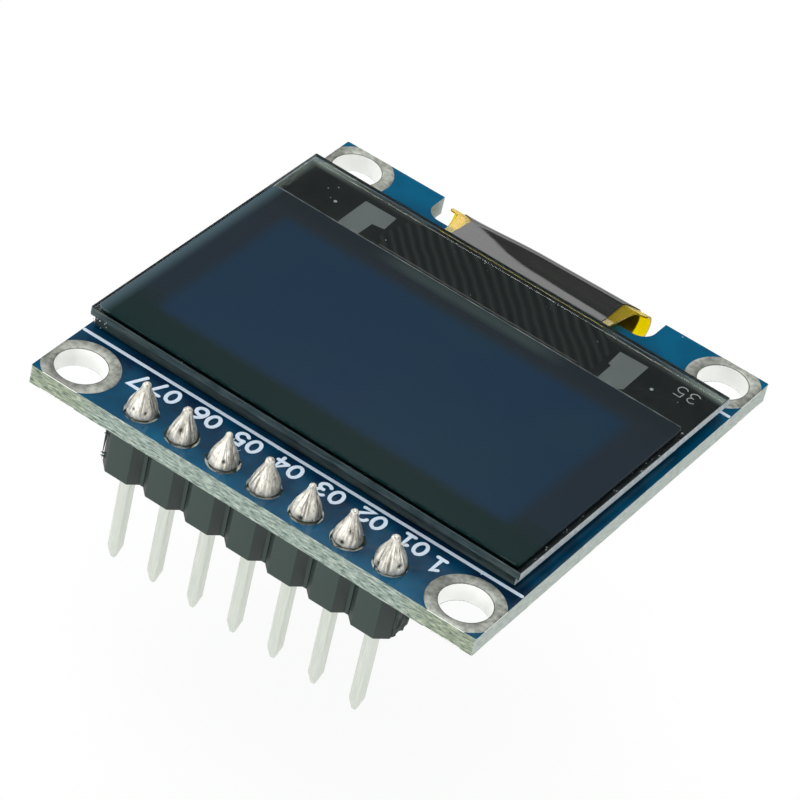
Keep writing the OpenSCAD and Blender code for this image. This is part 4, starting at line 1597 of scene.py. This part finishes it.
class OLED_OT_stage(bpy.types.Operator):
    """Set up the camera, the white floor and the soft light"""
    bl_idname = "oled.stage"
    bl_label = "Stage"

    def execute(self, context):
        studio = context.scene.oled_studio
        scene = context.scene
        data = bpy.data.cameras.new("camera")
        data.lens, data.sensor_width = studio.lens, 36.0
        data.clip_start, data.clip_end = 0.01, 5.0
        camera = bpy.data.objects.new("camera", data)
        scene.collection.objects.link(camera)
        scene.camera = camera
        right, ahead = Vector(CAMERA_RIGHT), Vector(CAMERA_AHEAD)
        turn = Matrix([right, right.cross(ahead), -ahead]).transposed().to_4x4()
        turn.translation = Vector(CAMERA_AT) * MM
        camera.matrix_world = turn
        make_floor(studio)
        make_world(scene)
        for name, at, size, power in LAMPS:
            light = bpy.data.lights.new(name, "AREA")
            light.shape, light.energy = "RECTANGLE", power
            light.size, light.size_y = size
            lamp = bpy.data.objects.new(name, light)
            scene.collection.objects.link(lamp)
            lamp.matrix_world = (-Vector(at)).to_track_quat("-Z", "Y").to_matrix().to_4x4()
            lamp.location = at
        scene.view_settings.view_transform = "Standard"
        return {"FINISHED"}


CAMERA_AT = (77.37, -156.93, 141.03)
CAMERA_RIGHT = (0.80527, 0.56366, 0.18392)
CAMERA_AHEAD = (-0.34406, 0.69688, -0.62927)
LAMPS = [
    ("overhead box", (0.05, -0.1, 0.6), (0.3, 0.3), 0.8),
    ("high back box", (-0.215, 0.23, 0.51), (0.28, 0.28), 1.15),
    ("left box", (-0.38, -0.18, 0.16), (0.3, 0.25), 0.9),
    ("right box", (0.4, 0.02, 0.14), (0.2, 0.2), 0.35),
    ("front box", (-0.05, -0.42, 0.1), (0.4, 0.16), 0.8),
    ("low back box", (-0.19, 0.465, 0.19), (0.3, 0.1), 0.2),
]


def open_rays(tree):
    """1 for rays that come straight from the camera, off a glossy surface or through glass."""
    path = add_node(tree, "ShaderNodeLightPath")
    seen = calc(tree, "MAXIMUM", path.outputs["Is Camera Ray"], path.outputs["Is Glossy Ray"])
    return add_node(
        tree, "ShaderNodeMath", {"operation": "MAXIMUM"},
        {0: seen, 1: path.outputs["Is Transmission Ray"]},
    ).outputs[0]


def make_floor(studio):
    """A wide white sheet under the pins, seen as white with part of its shadow, clear from below."""
    half = 2.0
    z = PIN_TIP[2] * MM - studio.floor_gap
    mesh = bpy.data.meshes.new("floor")
    mesh.from_pydata(
        [(-half, -half, z), (half, -half, z), (half, half, z), (-half, half, z)], [], [(0, 1, 2, 3)]
    )
    floor = bpy.data.objects.new("floor", mesh)
    bpy.context.scene.collection.objects.link(floor)
    material, tree, shader = new_material("white paper sweep")
    set_shader(tree, shader, {"Base Color": list(studio.white) + [1.0], "Roughness": 0.9})
    white = add_node(
        tree, "ShaderNodeEmission", {"Color": list(studio.white) + [1.0], "Strength": 1.0}
    )
    seen = calc(tree, "MULTIPLY", open_rays(tree), 0.92)
    lit = add_node(
        tree, "ShaderNodeMixShader", links={0: seen, 1: shader.outputs[0], 2: white.outputs[0]}
    )
    clear = add_node(tree, "ShaderNodeBsdfTransparent")
    side = add_node(tree, "ShaderNodeNewGeometry")
    sheet = add_node(
        tree, "ShaderNodeMixShader", links={
            0: side.outputs["Backfacing"], 1: lit.outputs[0], 2: clear.outputs[0]
        }
    )
    output = next(n for n in tree.nodes if n.type == "OUTPUT_MATERIAL")
    tree.links.new(sheet.outputs[0], output.inputs["Surface"])
    mesh.materials.append(material)


def make_world(scene):
    """A dim room: pale near the horizon, dark above it and pale overhead, and white to the camera."""
    world = bpy.data.worlds.new("room")
    scene.world = world
    world.use_nodes = True
    tree = world.node_tree
    tree.nodes.clear()
    place = coordinates(tree)
    point = axes_of(tree, place["Generated"])
    tone = graded(
        tree, point[2],
        [(0.0, 0.85), (0.22, 0.8), (0.36, 0.1), (0.78, 0.07), (0.9, 0.9), (1.0, 1.0)]
    )
    soft = add_node(tree, "ShaderNodeBackground", {"Strength": 1.0}, {"Color": tone})
    white = add_node(tree, "ShaderNodeBackground", {"Color": linear("#ffffff"), "Strength": 1.0})
    path = add_node(tree, "ShaderNodeLightPath")
    sky = add_node(
        tree, "ShaderNodeMixShader",
        links={0: path.outputs["Is Camera Ray"], 1: soft.outputs[0], 2: white.outputs[0]},
    )
    add_node(tree, "ShaderNodeOutputWorld", links={"Surface": sky.outputs[0]})


class OLED_PT_module(bpy.types.Panel):
    """Sidebar list of the module's pieces and settings"""
    bl_idname = "OLED_PT_module"
    bl_label = "Display module"
    bl_space_type = "VIEW_3D"
    bl_region_type = "UI"
    bl_category = "Display module"

    def draw(self, context):
        for operator in OPERATORS:
            self.layout.operator(operator.bl_idname)
        for name in SETTINGS:
            group = getattr(context.scene, name)
            box = self.layout.box()
            for key in group.__annotations__:
                box.prop(group, key)


OPERATORS = [
    OLED_OT_board, OLED_OT_rings, OLED_OT_print, OLED_OT_joints, OLED_OT_header, OLED_OT_panel,
    OLED_OT_ledge, OLED_OT_flex, OLED_OT_parts, OLED_OT_stage,
]


def register():
    for name, group in SETTINGS.items():
        bpy.utils.register_class(group)
        setattr(bpy.types.Scene, name, bpy.props.PointerProperty(type=group))
    for operator in OPERATORS:
        bpy.utils.register_class(operator)
    bpy.utils.register_class(OLED_PT_module)


def unregister():
    bpy.utils.unregister_class(OLED_PT_module)
    for operator in reversed(OPERATORS):
        bpy.utils.unregister_class(operator)
    for name, group in SETTINGS.items():
        delattr(bpy.types.Scene, name)
        bpy.utils.unregister_class(group)


def main():
    register()
    for operator in OPERATORS:
        getattr(bpy.ops.oled, operator.bl_idname.split(".")[1])()


if __name__ == "__main__":
    main()
